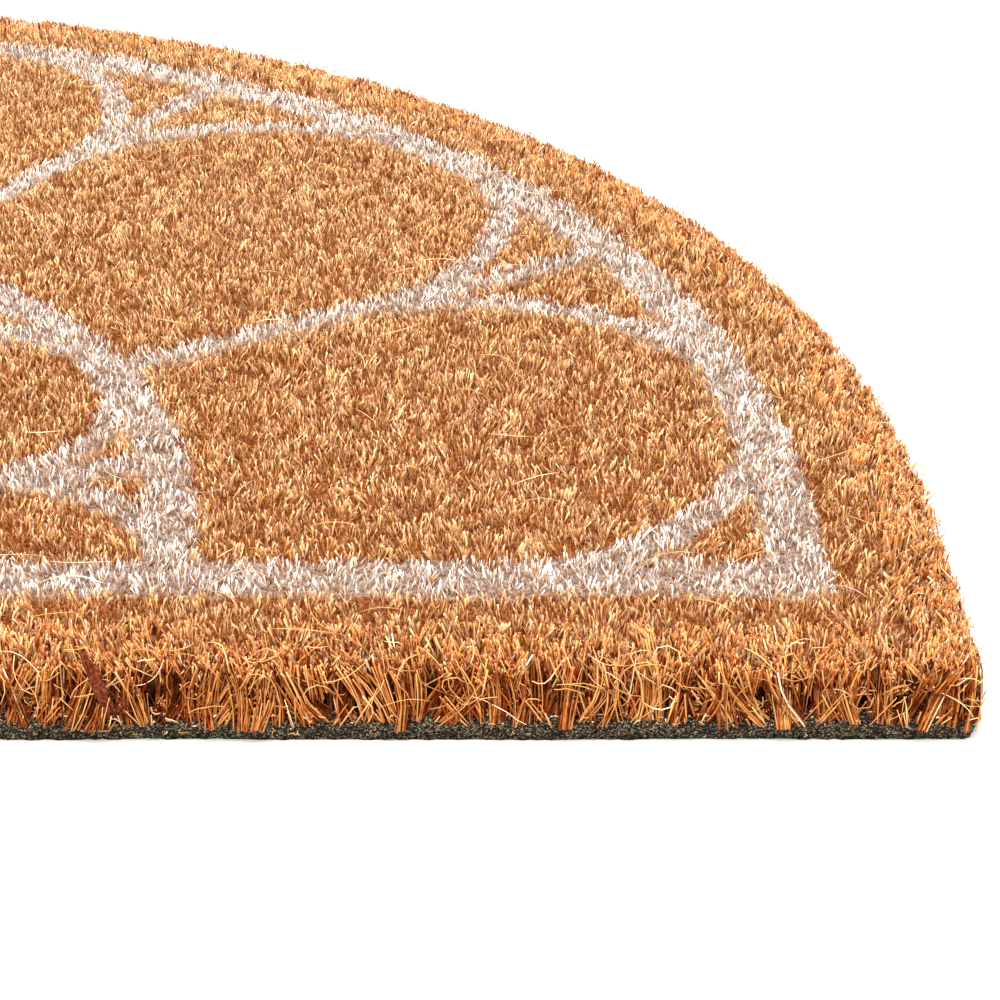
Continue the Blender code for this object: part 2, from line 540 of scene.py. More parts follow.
@dataclass(frozen=True)
class StrandSquare:
    """How a strand's faces share its own square of the colour map: the wall below, the cut ends above it."""

    margin: float = 0.06  # The share of the square that stays clear on each side
    wall: float = 0.78  # How high the wall reaches
    ends: Range = (0.24, 0.76)  # Where across the square the middles of the first and the last end are
    end_height: float = 0.9  # How high they are
    end_size: Range = (0.22, 0.1)  # An end's half width and half height

    def lay_out(self, count: int, corners: Array) -> Array:
        """Give each strand its own square of the map.

        Args:
            count: how many strands there are.
            corners: the places of one strand's face corners in its square, each 0 to 1, last axis u and v.

        Returns:
            The corners' places on the map, strand by strand.
        """
        across = math.ceil(math.sqrt(count))
        number = np.arange(count)
        origin = np.stack([number % across, number // across], -1)
        origin = origin.reshape((count,) + (1,) * (corners.ndim - 1) + (2,))
        return (origin + self.margin + (1 - 2 * self.margin) * corners[None]) / across

    def wall_corners(self, sides: int, steps: int) -> Array:
        """The corners of a round strand's wall, side by side and each from the root up.

        Args:
            sides: how many sides the strand has.
            steps: how many points a side has from root to tip.

        Returns:
            Four corners for each face.
        """
        near, step = np.meshgrid(np.arange(sides), np.arange(steps - 1), indexing="ij")
        u = np.stack([near, near + 1, near + 1, near], -1) / sides
        v = np.stack([step, step, step + 1, step + 1], -1) / (steps - 1) * self.wall
        return np.stack([u, v], -1).reshape(-1, 4, 2)

    def end_corners(self, sides: int) -> Array:
        """The corners of a round strand's first and last end.

        Args:
            sides: how many sides the strand has.

        Returns:
            One ring of corners for each end.
        """
        angle = np.arange(sides) * TURN / sides
        half_width, half_height = self.end_size
        return np.stack([
            np.stack([middle + half_width * np.cos(angle), self.end_height + half_height * np.sin(angle)], -1)
            for middle in self.ends])


@dataclass(frozen=True)
class FlatFibre:
    """How the upper end of a fibre is drawn: one flat three-cornered face that shows strands side by side.

    Every other fibre ends in a point; the rest are widest at their slanting cut.
    """

    strands: int = 2  # How many strands a face shows
    root: float = 0.1  # How far along a whole fibre the face begins
    slant: float = 0.22 * MM  # How unevenly the shears cut its end
    square: StrandSquare = StrandSquare()

    def make(self, root: Array, tip: Array, width: Array, tone: Array, printed: Array, rng: Rng) -> Strands:
        """Make many flat fibres.

        Args:
            root: where each fibre starts.
            tip: where it was sheared.
            width: its width.
            tone: its tone, 0 dark to 1 pale.
            printed: how far down the pigment reaches, 0 none to 1 deep.
            rng: seeded randomness.

        Returns:
            The fibres.
        """
        count = len(root)
        heading = rng.uniform(0, TURN, count)
        across = np.stack([np.cos(heading), np.sin(heading), 0 * heading], -1) * (width / 2)[:, None]
        pointed = np.arange(count) % 2 == 0
        wide, narrow = (np.where(pointed[:, None], *ends) for ends in ((root, tip), (tip, root)))
        points = np.stack([wide - across, wide + across, narrow], 1)
        points[:, :2, 2] += np.array([1, -1]) * rng.normal(0, self.slant, (count, 1))
        faces = np.arange(3 * count).reshape(count, 3)
        up = np.array([[0.0, 0.0], [1.0, 0.0], [0.5, 1.0]])
        squares = self.square.lay_out(count, np.stack([up, 1 - up]))
        squares = np.where(pointed[:, None, None], squares[:, 0], squares[:, 1])
        fibre = np.zeros((count, 3, 3))
        fibre[..., 0] = tone[:, None]
        fibre[..., 1] = np.where(pointed[:, None], [self.root, self.root, 1.0], [1.0, 1.0, self.root])
        fibre[..., 2] = printed[:, None]
        side = np.tile(np.array([0, 1, 0.5]) * self.strands - 0.5, count)
        return Strands(points.reshape(-1, 3), [faces], [squares], fibre.reshape(-1, 3), side)


@dataclass(frozen=True)
class RoundStrand:
    """How a whole strand is drawn: round, along a path, with its cut ends closed."""

    sides: int = 3
    rooted: bool = False  # Whether its first end is buried, so that it needs no face
    square: StrandSquare = StrandSquare()

    def make(
        self, paths: Array, width: Array, facing: Array, tone: Array, rng: Rng, printed: Array | None = None
    ) -> Strands:
        """Make many round strands.

        Args:
            paths: the middle points, strand by strand.
            width: the strand's width at each middle point.
            facing: for each strand a direction that its path never follows.
            tone: its tone, 0 dark to 1 pale.
            rng: seeded randomness.
            printed: how far down the pigment reaches, 0 none to 1 deep, if any strand is printed.

        Returns:
            The strands.
        """
        count, steps = paths.shape[:2]
        sides = self.sides
        ahead = unit(np.gradient(paths, axis=1))
        right = unit(np.cross(facing[:, None, :], ahead))
        over = np.cross(ahead, right)
        angle = rng.uniform(0, TURN, (count, 1, 1)) + np.arange(sides) * TURN / sides
        ring = np.cos(angle)[..., None] * right[:, :, None] + np.sin(angle)[..., None] * over[:, :, None]
        points = paths[:, :, None] + ring * (width / 2)[:, :, None, None]
        wall, ends = self.faces(steps)
        first = (np.arange(count) * steps * sides)[:, None, None]
        end_corners = self.square.end_corners(sides)[int(self.rooted):]
        fibre = np.zeros((count, steps, sides, 3))
        fibre[..., 0] = tone[:, None, None]
        fibre[..., 1] = np.linspace(0, 1, steps)[None, :, None]
        if printed is not None:
            fibre[..., 2] = printed[:, None, None]
        return Strands(
            points.reshape(-1, 3),
            [(first + wall[None]).reshape(-1, 4), (first + ends[None]).reshape(-1, sides)],
            [self.square.lay_out(count, self.square.wall_corners(sides, steps)),
             self.square.lay_out(count, end_corners)],
            fibre.reshape(-1, 3))

    def faces(self, steps: int) -> tuple[Array, Array]:
        """One strand's faces, by the numbers of its points.

        Args:
            steps: how many rings of points it has.

        Returns:
            The faces of its wall, and those of its two ends.
        """
        near, step = np.meshgrid(np.arange(self.sides), np.arange(steps - 1), indexing="ij")
        far = (near + 1) % self.sides
        low, high = step * self.sides, (step + 1) * self.sides
        wall = np.stack([low + near, low + far, high + far, high + near], -1).reshape(-1, 4)
        last = (steps - 1) * self.sides
        ends = np.stack([np.arange(self.sides)[::-1], last + np.arange(self.sides)])
        return wall, ends[int(self.rooted):]


@dataclass(frozen=True)
class ToneMix:
    """How fibres differ in tone, 0 dark to 1 pale: most are like their tuft, some straw-pale, some rusty."""

    own: float  # How far fibres differ in one tuft
    pale: float  # The share of straw-pale fibres
    dark: float = 0.035  # The share of rusty dark ones
    usual: Range = (0.04, 0.8)  # The darkest and palest of most fibres
    straw: Range = (0.74, 0.92)  # The tones of the straw-pale ones
    rust: Range = (0.0, 0.2)  # The tones of the rusty dark ones

    def choose(self, shared: Array, rng: Rng) -> Array:
        """Choose each fibre's tone.

        Args:
            shared: the tone of the tuft that each fibre stands in.
            rng: seeded randomness.

        Returns:
            The tones.
        """
        count = len(shared)
        tone = np.clip(shared + rng.normal(0, self.own, count), *self.usual)
        chance = rng.uniform(0, 1, count)
        tone = np.where(chance < self.pale, rng.uniform(*self.straw, count), tone)
        return np.where(chance > 1 - self.dark, rng.uniform(*self.rust, count), tone)


@dataclass(frozen=True)
class ShearedCoir:
    """Brown coir: stiff husk fibre, retted, spun and sheared. It looks dry and woody, with a waxy gleam.

    The pigment is a matt pale paint rolled on the tips, so that it stops a few millimetres down each fibre.

    Real strands are 0.1 to 0.3 mm thick, too many to model, so each flat fibre shows two, side by side, with
    painted shade in the groove between them and along its edges.
    """

    name: str = "coir_strands"
    # The husk's colours, from rusty dark to straw-pale
    tones: Stops = (
        (0.0, "340C02"), (0.1, "66260A"), (0.24, "9C5626"), (0.45, "C2864A"), (0.7, "D8A468"),
        (0.88, "E8C69A"), (1.0, "F3E0C4"))
    root: str = "7A3210"  # The shaded colour low on a fibre and between two strands
    depth: Range = (-0.6, 0.4)  # The places along a fibre between which that shade ends
    # Partly the sheared end's own paler colour, partly a painted highlight where the ends catch the light
    cut_end: str = "DDB07A"  # The paler colour of the sheared end
    end: Range = (0.94, 0.3)  # Where along a fibre it begins, and how strong it gets
    pigment: Stops = ((0.0, "B4A69A"), (0.3, "DCD4CA"), (0.6, "EAE4DC"), (1.0, "EEE8E0"))
    paint_edge: Range = (1.22, 1.5)  # The sums of place along and print between which the paint sets in
    paint_cover: float = 0.96  # How well it covers
    # Painted shade: how dark the groove between two strands and the fibre's edges are painted
    groove_shade: float = 0.5  # How dark the groove between two strands is
    twin: float = 0.14  # How far two strands side by side differ in tone
    # How fast that changes with the fibre's tone, and from one strand to the next
    twin_turns: Range = (60.0, 2.4)
    mottle: float = 1.6 * MM
    mottling: float = 0.09  # How far mottles change the tone
    mottled: Range = (0.3, 0.7)  # The noise values between which they do
    roughness: float = 0.55
    paint_roughness: float = 0.85
    gleam: float = 0.03

    @classmethod
    def of_tips(cls) -> "ShearedCoir":
        """The same coir at the top, where the short tips go from deep shade to a sunlit, much paler cut."""
        return cls(
            name="sheared_coir_tips", root="561803", depth=(0.16, 0.74), cut_end="F2DAB8", end=(0.8, 0.6),
            tones=(
                (0.0, "3A1002"), (0.1, "6A2A0A"), (0.24, "9E5624"), (0.45, "C88442"), (0.7, "E0A664"),
                (0.88, "EEC894"), (1.0, "F3DCBC")))

    def build(self) -> bpy.types.Material:
        """Make the material from each fibre's tone, its place along and across the fibre, and its print.

        Returns:
            The material.
        """
        material, tree = new_material(self.name)
        fibre = add_node(tree, "ShaderNodeAttribute", attribute_name="fibre")
        parts = add_node(tree, "ShaderNodeSeparateXYZ", {0: fibre.outputs["Vector"]})
        tone, along, printed = parts.outputs
        side = add_node(tree, "ShaderNodeAttribute", attribute_name="side").outputs["Fac"]
        shown = self.tone_shown(tree, tone, side)
        husk = add_node(tree, "ShaderNodeValToRGB", {0: shown}, stops=self.tones)
        height = add_node(tree, "ShaderNodeMapRange", {
            0: along, 1: self.depth[0], 2: self.depth[1], 3: 0.0, 4: 1.0})
        shaded = add_node(tree, "ShaderNodeMix", {
            "Factor": height.outputs[0], 6: linear(self.root), 7: husk.outputs[0]}, data_type="RGBA")
        # The paler end: partly its own colour, partly a painted highlight
        end = add_node(tree, "ShaderNodeMapRange", {0: along, 1: self.end[0], 2: 1.0, 3: 0.0, 4: self.end[1]})
        cut = add_node(tree, "ShaderNodeMix", {
            "Factor": end.outputs[0], 6: shaded.outputs[2], 7: linear(self.cut_end)}, data_type="RGBA")
        reach = add_node(tree, "ShaderNodeMath", {0: along, 1: printed}, operation="ADD")
        painted = add_node(tree, "ShaderNodeMapRange", {
            0: reach.outputs[0], 1: self.paint_edge[0], 2: self.paint_edge[1], 3: 0.0, 4: self.paint_cover})
        pale = add_node(tree, "ShaderNodeValToRGB", {0: shown}, stops=self.pigment)
        dressed = add_node(tree, "ShaderNodeMix", {
            "Factor": painted.outputs[0], 6: cut.outputs[2], 7: pale.outputs[0]}, data_type="RGBA")
        # Painted shade in the groove between two strands and along the fibre's edges
        turn = add_node(tree, "ShaderNodeMath", {0: side, 1: TURN}, operation="MULTIPLY")
        crest = add_node(tree, "ShaderNodeMath", {0: turn.outputs[0]}, operation="COSINE")
        groove_shade = add_node(tree, "ShaderNodeMapRange", {
            0: crest.outputs[0], 1: -1.0, 2: 0.0, 3: self.groove_shade, 4: 0.0})
        colour = add_node(tree, "ShaderNodeMix", {
            "Factor": groove_shade.outputs[0], 6: dressed.outputs[2], 7: linear(self.root)}, data_type="RGBA")
        rough = add_node(tree, "ShaderNodeMapRange", {
            0: painted.outputs[0], 1: 0.0, 2: 1.0, 3: self.roughness, 4: self.paint_roughness})
        shader = add_node(tree, "ShaderNodeBsdfPrincipled", {
            "Base Color": colour.outputs[2], "Roughness": rough.outputs[0], "Specular IOR Level": self.gleam})
        add_node(tree, "ShaderNodeOutputMaterial", {0: shader.outputs[0]})
        return material

    def tone_shown(
        self, tree: bpy.types.NodeTree, tone: bpy.types.NodeSocket, side: bpy.types.NodeSocket
    ) -> bpy.types.NodeSocket:
        """Mottle a fibre's tone, and set its strands apart.

        Args:
            tree: the material's node tree.
            tone: the fibre's tone.
            side: the place across it, a whole number in the middle of each strand.

        Returns:
            The socket with the tone to show.
        """
        place = add_node(tree, "ShaderNodeTexCoord")
        mottle = add_node(tree, "ShaderNodeTexNoise", {
            "Vector": place.outputs["Object"], "Scale": 1 / self.mottle, "Detail": 2.0})
        uneven = add_node(tree, "ShaderNodeMapRange", {
            0: mottle.outputs[0], 1: self.mottled[0], 2: self.mottled[1],
            3: -self.mottling, 4: self.mottling})
        by_tone, by_strand = self.twin_turns
        strand = add_node(tree, "ShaderNodeMath", {0: side}, operation="ROUND")
        step = add_node(tree, "ShaderNodeMath", {0: strand.outputs[0], 1: by_strand}, operation="MULTIPLY")
        phase = add_node(tree, "ShaderNodeMath", {
            0: tone, 1: by_tone, 2: step.outputs[0]}, operation="MULTIPLY_ADD")
        wave = add_node(tree, "ShaderNodeMath", {0: phase.outputs[0]}, operation="SINE")
        apart = add_node(tree, "ShaderNodeMath", {
            0: wave.outputs[0], 1: self.twin, 2: uneven.outputs[0]}, operation="MULTIPLY_ADD")
        return add_node(tree, "ShaderNodeMath", {0: tone, 1: apart.outputs[0]}, operation="ADD").outputs[0]


@dataclass(frozen=True)
class PackedCoir:
    """The pile seen between its tips: the same coir, crowded, painted dark and rusty as the shade deep between
    the tips, and darker still towards its foot.
    """

    name: str = "packed_coir"
    # Painted shade: the husk is painted far darker than the tips, for the shade deep between them
    husk: Stops = ((0.3, "320E04"), (0.5, "5E2A0C"), (0.7, "945E2C"))
    # The husk's colours where the print reaches down between the strands, painted darker for the shade there
    pigment: Stops = ((0.3, "3E2A20"), (0.5, "76665A"), (0.7, "A89C92"))
    print_edge: Range = (0.35, 0.65)  # The print values between which that sets in
    print_cover: float = 0.75  # How well it covers
    # Painted shade: the colour low in the pile, where the shade is deepest
    painted_depth_shade: str = "180602"  # The colour low in the pile
    deep: float = 7.5 * MM  # The height below which only that shows
    shallow: float = 15.5 * MM  # The height above which none of it shows
    strand: float = 0.9 * MM
    crowding: float = 0.7  # How rough the strands' noise is
    dent: float = 0.5 * MM
    roughness: float = 0.9
    gleam: float = 0.06

    def build(self) -> bpy.types.Material:
        """Make the material, mottled at the spacing of the strands.

        Returns:
            The material.
        """
        material, tree = new_material(self.name)
        place = add_node(tree, "ShaderNodeTexCoord")
        crowd = add_node(tree, "ShaderNodeTexNoise", {
            "Vector": place.outputs["Object"], "Scale": 1 / self.strand, "Detail": 3.0,
            "Roughness": self.crowding})
        husk = add_node(tree, "ShaderNodeValToRGB", {0: crowd.outputs[0]}, stops=self.husk)
        pale = add_node(tree, "ShaderNodeValToRGB", {0: crowd.outputs[0]}, stops=self.pigment)
        printed = add_node(tree, "ShaderNodeAttribute", attribute_name="print")
        mask = add_node(tree, "ShaderNodeMapRange", {
            0: printed.outputs["Fac"], 1: self.print_edge[0], 2: self.print_edge[1],
            3: 0.0, 4: self.print_cover})
        crowded = add_node(tree, "ShaderNodeMix", {
            "Factor": mask.outputs[0], 6: husk.outputs[0], 7: pale.outputs[0]}, data_type="RGBA")
        height = add_node(tree, "ShaderNodeSeparateXYZ", {0: place.outputs["Object"]})
        # Painted shade, darker towards the bed's foot
        lit = add_node(tree, "ShaderNodeMapRange", {
            0: height.outputs[2], 1: self.deep, 2: self.shallow, 3: 0.0, 4: 1.0})
        colour = add_node(tree, "ShaderNodeMix", {
            "Factor": lit.outputs[0], 6: linear(self.painted_depth_shade), 7: crowded.outputs[2]}, data_type="RGBA")
        dents = add_node(tree, "ShaderNodeBump", {
            "Height": crowd.outputs[0], "Distance": self.dent, "Strength": 1.0})
        shader = add_node(tree, "ShaderNodeBsdfPrincipled", {
            "Base Color": colour.outputs[2], "Roughness": self.roughness, "Specular IOR Level": self.gleam,
            "Normal": dents.outputs[0]})
        add_node(tree, "ShaderNodeOutputMaterial", {0: shader.outputs[0]})
        return material


@dataclass(frozen=True)
class HuskPith:
    """Husk pith: the corky skin that retting leaves between the fibres. It is matt, soft and red-brown."""

    name: str = "husk_pith"
    skin: Stops = ((0.35, "2A0A04"), (0.5, "5C2410"), (0.7, "84462C"))
    crumb: float = 0.6 * MM
    crumbling: float = 0.65  # How rough the crumbs' noise is
    dent: float = 0.35 * MM
    roughness: float = 0.95
    gleam: float = 0.1

    def build(self) -> bpy.types.Material:
        """Make the material, mottled like cork.

        Returns:
            The material.
        """
        material, tree = new_material(self.name)
        place = add_node(tree, "ShaderNodeTexCoord")
        crumbs = add_node(tree, "ShaderNodeTexNoise", {
            "Vector": place.outputs["Object"], "Scale": 1 / self.crumb, "Detail": 4.0,
            "Roughness": self.crumbling})
        skin = add_node(tree, "ShaderNodeValToRGB", {0: crumbs.outputs[0]}, stops=self.skin)
        dents = add_node(tree, "ShaderNodeBump", {"Height": crumbs.outputs[0], "Distance": self.dent})
        shader = add_node(tree, "ShaderNodeBsdfPrincipled", {
            "Base Color": skin.outputs[0], "Roughness": self.roughness, "Specular IOR Level": self.gleam,
            "Normal": dents.outputs[0]})
        add_node(tree, "ShaderNodeOutputMaterial", {0: shader.outputs[0]})
        return material


@dataclass(frozen=True)
class FoamedVinyl:
    """Foamed PVC, poured and knife-cut: charcoal, matt and crumbly, with coarse grains and pin holes."""

    name: str = "foamed_vinyl"
    grains: Stops = ((0.3, "060402"), (0.56, "231910"), (0.8, "4A3C2C"), (0.97, "A6987C"))
    grain: float = 0.27 * MM
    speck: float = 0.15 * MM
    speckling: float = 0.65  # How rough the specks' noise is
    grain_share: float = 0.75  # How far each grain's own grey counts
    speck_share: float = 0.45  # How far the specks count
    relief: float = 0.4 * MM  # How far the grains stand out
    roughness: float = 0.75
    gleam: float = 0.09

    def build(self) -> bpy.types.Material:
        """Make the material from grains, each with its own grey, and finer specks.

        Returns:
            The material.
        """
        material, tree = new_material(self.name)
        place = add_node(tree, "ShaderNodeTexCoord")
        cells = add_node(tree, "ShaderNodeTexVoronoi", {
            "Vector": place.outputs["Object"], "Scale": 1 / self.grain, "Randomness": 1.0})
        specks = add_node(tree, "ShaderNodeTexNoise", {
            "Vector": place.outputs["Object"], "Scale": 1 / self.speck, "Detail": 3.0,
            "Roughness": self.speckling})
        each = add_node(tree, "ShaderNodeSeparateXYZ", {0: cells.outputs["Color"]})
        spread = add_node(tree, "ShaderNodeMath", {
            0: each.outputs[0], 1: self.grain_share}, operation="MULTIPLY")
        mixed = add_node(tree, "ShaderNodeMath", {
            0: specks.outputs[0], 1: self.speck_share, 2: spread.outputs[0]}, operation="MULTIPLY_ADD")
        grey = add_node(tree, "ShaderNodeValToRGB", {0: mixed.outputs[0]}, stops=self.grains)
        heap = add_node(tree, "ShaderNodeMath", {
            0: cells.outputs["Distance"], 1: -1.0, 2: specks.outputs[0]}, operation="MULTIPLY_ADD")
        relief = add_node(tree, "ShaderNodeBump", {
            "Height": heap.outputs[0], "Distance": self.relief, "Strength": 1.0})
        shader = add_node(tree, "ShaderNodeBsdfPrincipled", {
            "Base Color": grey.outputs[0], "Roughness": self.roughness, "Specular IOR Level": self.gleam,
            "Normal": relief.outputs[0]})
        add_node(tree, "ShaderNodeOutputMaterial", {0: shader.outputs[0]})
        return material


@dataclass
class Backing:
    """The granular vinyl slab, a sheet that lies flat, with a knife-cut side and a torn, sloping ledge."""

    outline: Outline
    column: float = 1.4 * MM  # The step along the edge
    face_rows: int = 6  # How many steps climb the cut side
    ledge_rows: int = 5  # How many steps cross the ledge
    ledge_bunching: float = 1.5  # How far those steps bunch towards the cut side
    cut_height: float = 4.3 * MM  # How high the cut side is
    ledge: float = 4.5 * MM  # How far in the ledge still slopes
    foot: float = 10 * MM  # How far in the underside's fine part reaches
    readings: Range = (0.6 * MM, 1.0 * MM)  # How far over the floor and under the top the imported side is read
    # Each unevenness of the ledge's edge: its height, its wavelength and which one it is
    tears: tuple[tuple[float, float, int], ...] = ((0.3 * MM, 9 * MM, 13), (0.2 * MM, 2.5 * MM, 14))
    crumb: float = 0.16 * MM  # How far the grains stand out
    least_inset: float = 0.1 * MM  # How far inside the outline every point stays
    seed: int = 11

    def top_height(self, inset: Array) -> Array:
        """The height of the slab's top, from the cut edge to the flat part."""
        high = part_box("vinyl_backing")[1].z
        return self.cut_height + (high - self.cut_height) * smooth_step(inset, 0.0, self.ledge)

    def rows(self, s: Array) -> list[tuple[Array, Array]]:
        """Lay out the rows of points, from the underside up the cut side and over the ledge.

        Args:
            s: the columns' places along the edge.

        Returns:
            For each row, each column's inset and height.
        """
        low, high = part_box("vinyl_backing")
        solid = Solid("vinyl_backing")
        columns = len(s)
        near_floor = solid.edge(self.outline, s, np.full(columns, low.z + self.readings[0]))
        near_top = solid.edge(self.outline, s, np.full(columns, high.z - self.readings[1]))
        torn = sum(height * Ripples(wavelength, seed).at(s, 0 * s) for height, wavelength, seed in self.tears)
        rows = [(np.full(columns, self.foot), np.full(columns, low.z))]
        for t in np.linspace(0, 1, self.face_rows):
            rows.append((near_floor + (near_top - near_floor) * t, low.z + (self.cut_height + torn) * t))
        for t in np.linspace(0, 1, self.ledge_rows)[1:] ** self.ledge_bunching:
            rows.append((near_top + self.ledge * t, self.top_height(self.ledge * t) + torn * (1 - t)))
        return rows

    def build(self) -> bpy.types.Object:
        """Build the slab as rows of points round the mat, closed above and below.

        Returns:
            The piece.
        """
        rng = np.random.default_rng(self.seed)
        columns = round(self.outline.length / self.column)
        s = np.arange(columns) * self.outline.length / columns
        places = self.outline.walk(s)
        rows = self.rows(s)
        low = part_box("vinyl_backing")[0].z
        grid = np.zeros((len(rows), columns, 3))
        for row, (inset, z) in enumerate(rows):
            grain = rng.normal(0, self.crumb, (2, columns)) * (row > 0)
            lift = grain[1] * (row > 1)
            grid[row, :, :2] = places.inside(np.maximum(inset + grain[0], self.least_inset))
            grid[row, :, 2] = np.maximum(z + lift, low)
        count = np.arange(columns)
        after = (count + 1) % columns
        base = np.arange(len(rows) - 1)[:, None] * columns
        walls = np.stack([base + count, base + after, base + columns + after, base + columns + count], -1)
        lid = (len(rows) - 1) * columns + count
        return make_piece(
            "backing_slab", grid.reshape(-1, 3), [walls.reshape(-1, 4), lid[None], count[::-1][None]],
            FoamedVinyl().build())


def tuft_places(outline: Outline, spacing: float, inset: float, rng: Rng, shake: float = 0.28) -> Array:
    """Scatter places evenly over the mat: a triangular net, each place shaken.

    Args:
        outline: the mat's outline.
        spacing: the distance between neighbours.
        inset: how far inside the edge the places start.
        rng: seeded randomness.
        shake: how far a place moves at most, per unit of spacing.

    Returns:
        The places, in metres.
    """
    rows = np.arange(outline.front, outline.shoulder + outline.radius, spacing * math.sqrt(3) / 2)
    across = np.arange(-outline.radius, outline.radius, spacing)
    x, y = np.meshgrid(across, rows)
    x = x + (np.arange(len(rows)) % 2)[:, None] * spacing / 2
    places = np.stack([x.ravel(), y.ravel()], -1)
    places += rng.uniform(-shake, shake, places.shape) * spacing
    return places[outline.inset(places[:, 0], places[:, 1]) > inset]


@dataclass
class PileBed:
    """The crowded lower pile, a closed slab whose top shows between the tips."""

    outline: Outline
    line_work: LineWork
    inset: float = 5.2 * MM  # How far in the bed's side stands
    depth: float = 2.8 * MM  # How far the bed's top lies under the tips, away from the rim
    slope: float = 5.0 * MM  # How much further it drops towards the rim
    shoulder: float = 15 * MM  # How far in the drop begins
    spacing: float = 5.5 * MM  # The distance between the top's points
    clear: float = 0.6  # How far from the side the top's points start, per unit of spacing
    rough: float = 0.25 * MM  # How uneven the top is
    print_blur: float = 1.5 * MM
    seed: int = 12

    def height(self, x: Array, y: Array) -> Array:
        """The height of the bed's top."""
        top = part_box("coir_pile")[1].z - self.depth
        return top - self.slope * (1 - smooth_step(self.outline.inset(x, y), self.inset, self.shoulder))

    def net(self, rng: Rng) -> tuple[Array, Array, Array]:
        """Join the top's points into triangles.

        Args:
            rng: seeded randomness.

        Returns:
            The points in plan, the triangles, and the numbers of the points round the side.
        """
        inner = self.outline.inner(self.inset)
        count = round(inner.length / self.spacing)
        rim = inner.walk(np.arange(count) * inner.length / count).points
        inside = tuft_places(inner, self.spacing, self.clear * self.spacing, rng)
        places = [Vector(p) for p in np.concatenate([rim, inside])]
        loop = [(i, (i + 1) % count) for i in range(count)]
        inside_loop, closest = 1, 1e-6
        net = delaunay_2d_cdt(places, loop, [], inside_loop, closest)
        found = {origin: number for number, origins in enumerate(net[3]) for origin in origins}
        edge = np.array([found[i] for i in range(count)])
        return np.array([tuple(p) for p in net[0]]), np.array(net[2]), edge

    def build(self) -> bpy.types.Object:
        """Build the slab: a net of points above, a wall and a flat floor.

        Returns:
            The piece.
        """
        rng = np.random.default_rng(self.seed)
        place, faces, edge = self.net(rng)
        count = len(edge)
        z = self.height(place[:, 0], place[:, 1]) + rng.normal(0, self.rough, len(place))
        top = np.column_stack([place, z])
        bottom = np.column_stack([place[edge], np.full(count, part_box("coir_pile")[0].z)])
        low = len(top) + np.arange(count)
        after = np.roll(np.arange(count), -1)
        walls = np.stack([low, low[after], edge[after], edge], -1)
        piece = make_piece(
            "pile_bed", np.concatenate([top, bottom]), [faces, walls, low[::-1][None]], PackedCoir().build())
        depth = np.concatenate([self.line_work.depth(place[:, 0], place[:, 1]), np.full(count, -FAR)])
        printed = smooth_step(depth, -self.print_blur, self.print_blur)
        layer = piece.data.attributes.new("print", "FLOAT", "POINT")
        layer.data.foreach_set("value", printed.astype(np.float32))
        return piece


@dataclass(frozen=True)
class Roller:
    """How a roller leaves pigment on the tips."""

    wander: float = 0.7 * MM  # How far a line's edge wanders
    wavelength: float = 9 * MM
    stray: float = 0.55 * MM  # How far single fibres take the paint early or late
    edge: Range = (-0.5 * MM, 0.7 * MM)  # How far inside a line's edge the paint sets in and is full
    reach: Range = (0.55, 1.0)  # How deep it reaches on full fibres

    def depth(self, line_work: LineWork, x: Array, y: Array, rng: Rng) -> Array:
        """How deep the pigment reaches on fibres with tips at these places.

        Args:
            line_work: the printed lines.
            x: places across the mat.
            y: places from front to back.
            rng: seeded randomness.

        Returns:
            0 for bare fibres, up to 1 for deeply painted ones.
        """
        ragged = self.wander * Ripples(self.wavelength, 31).at(x, y) + rng.normal(0, self.stray, len(x))
        cover = smooth_step(line_work.depth(x, y) + ragged, *self.edge)
        return cover * rng.uniform(*self.reach, len(x))


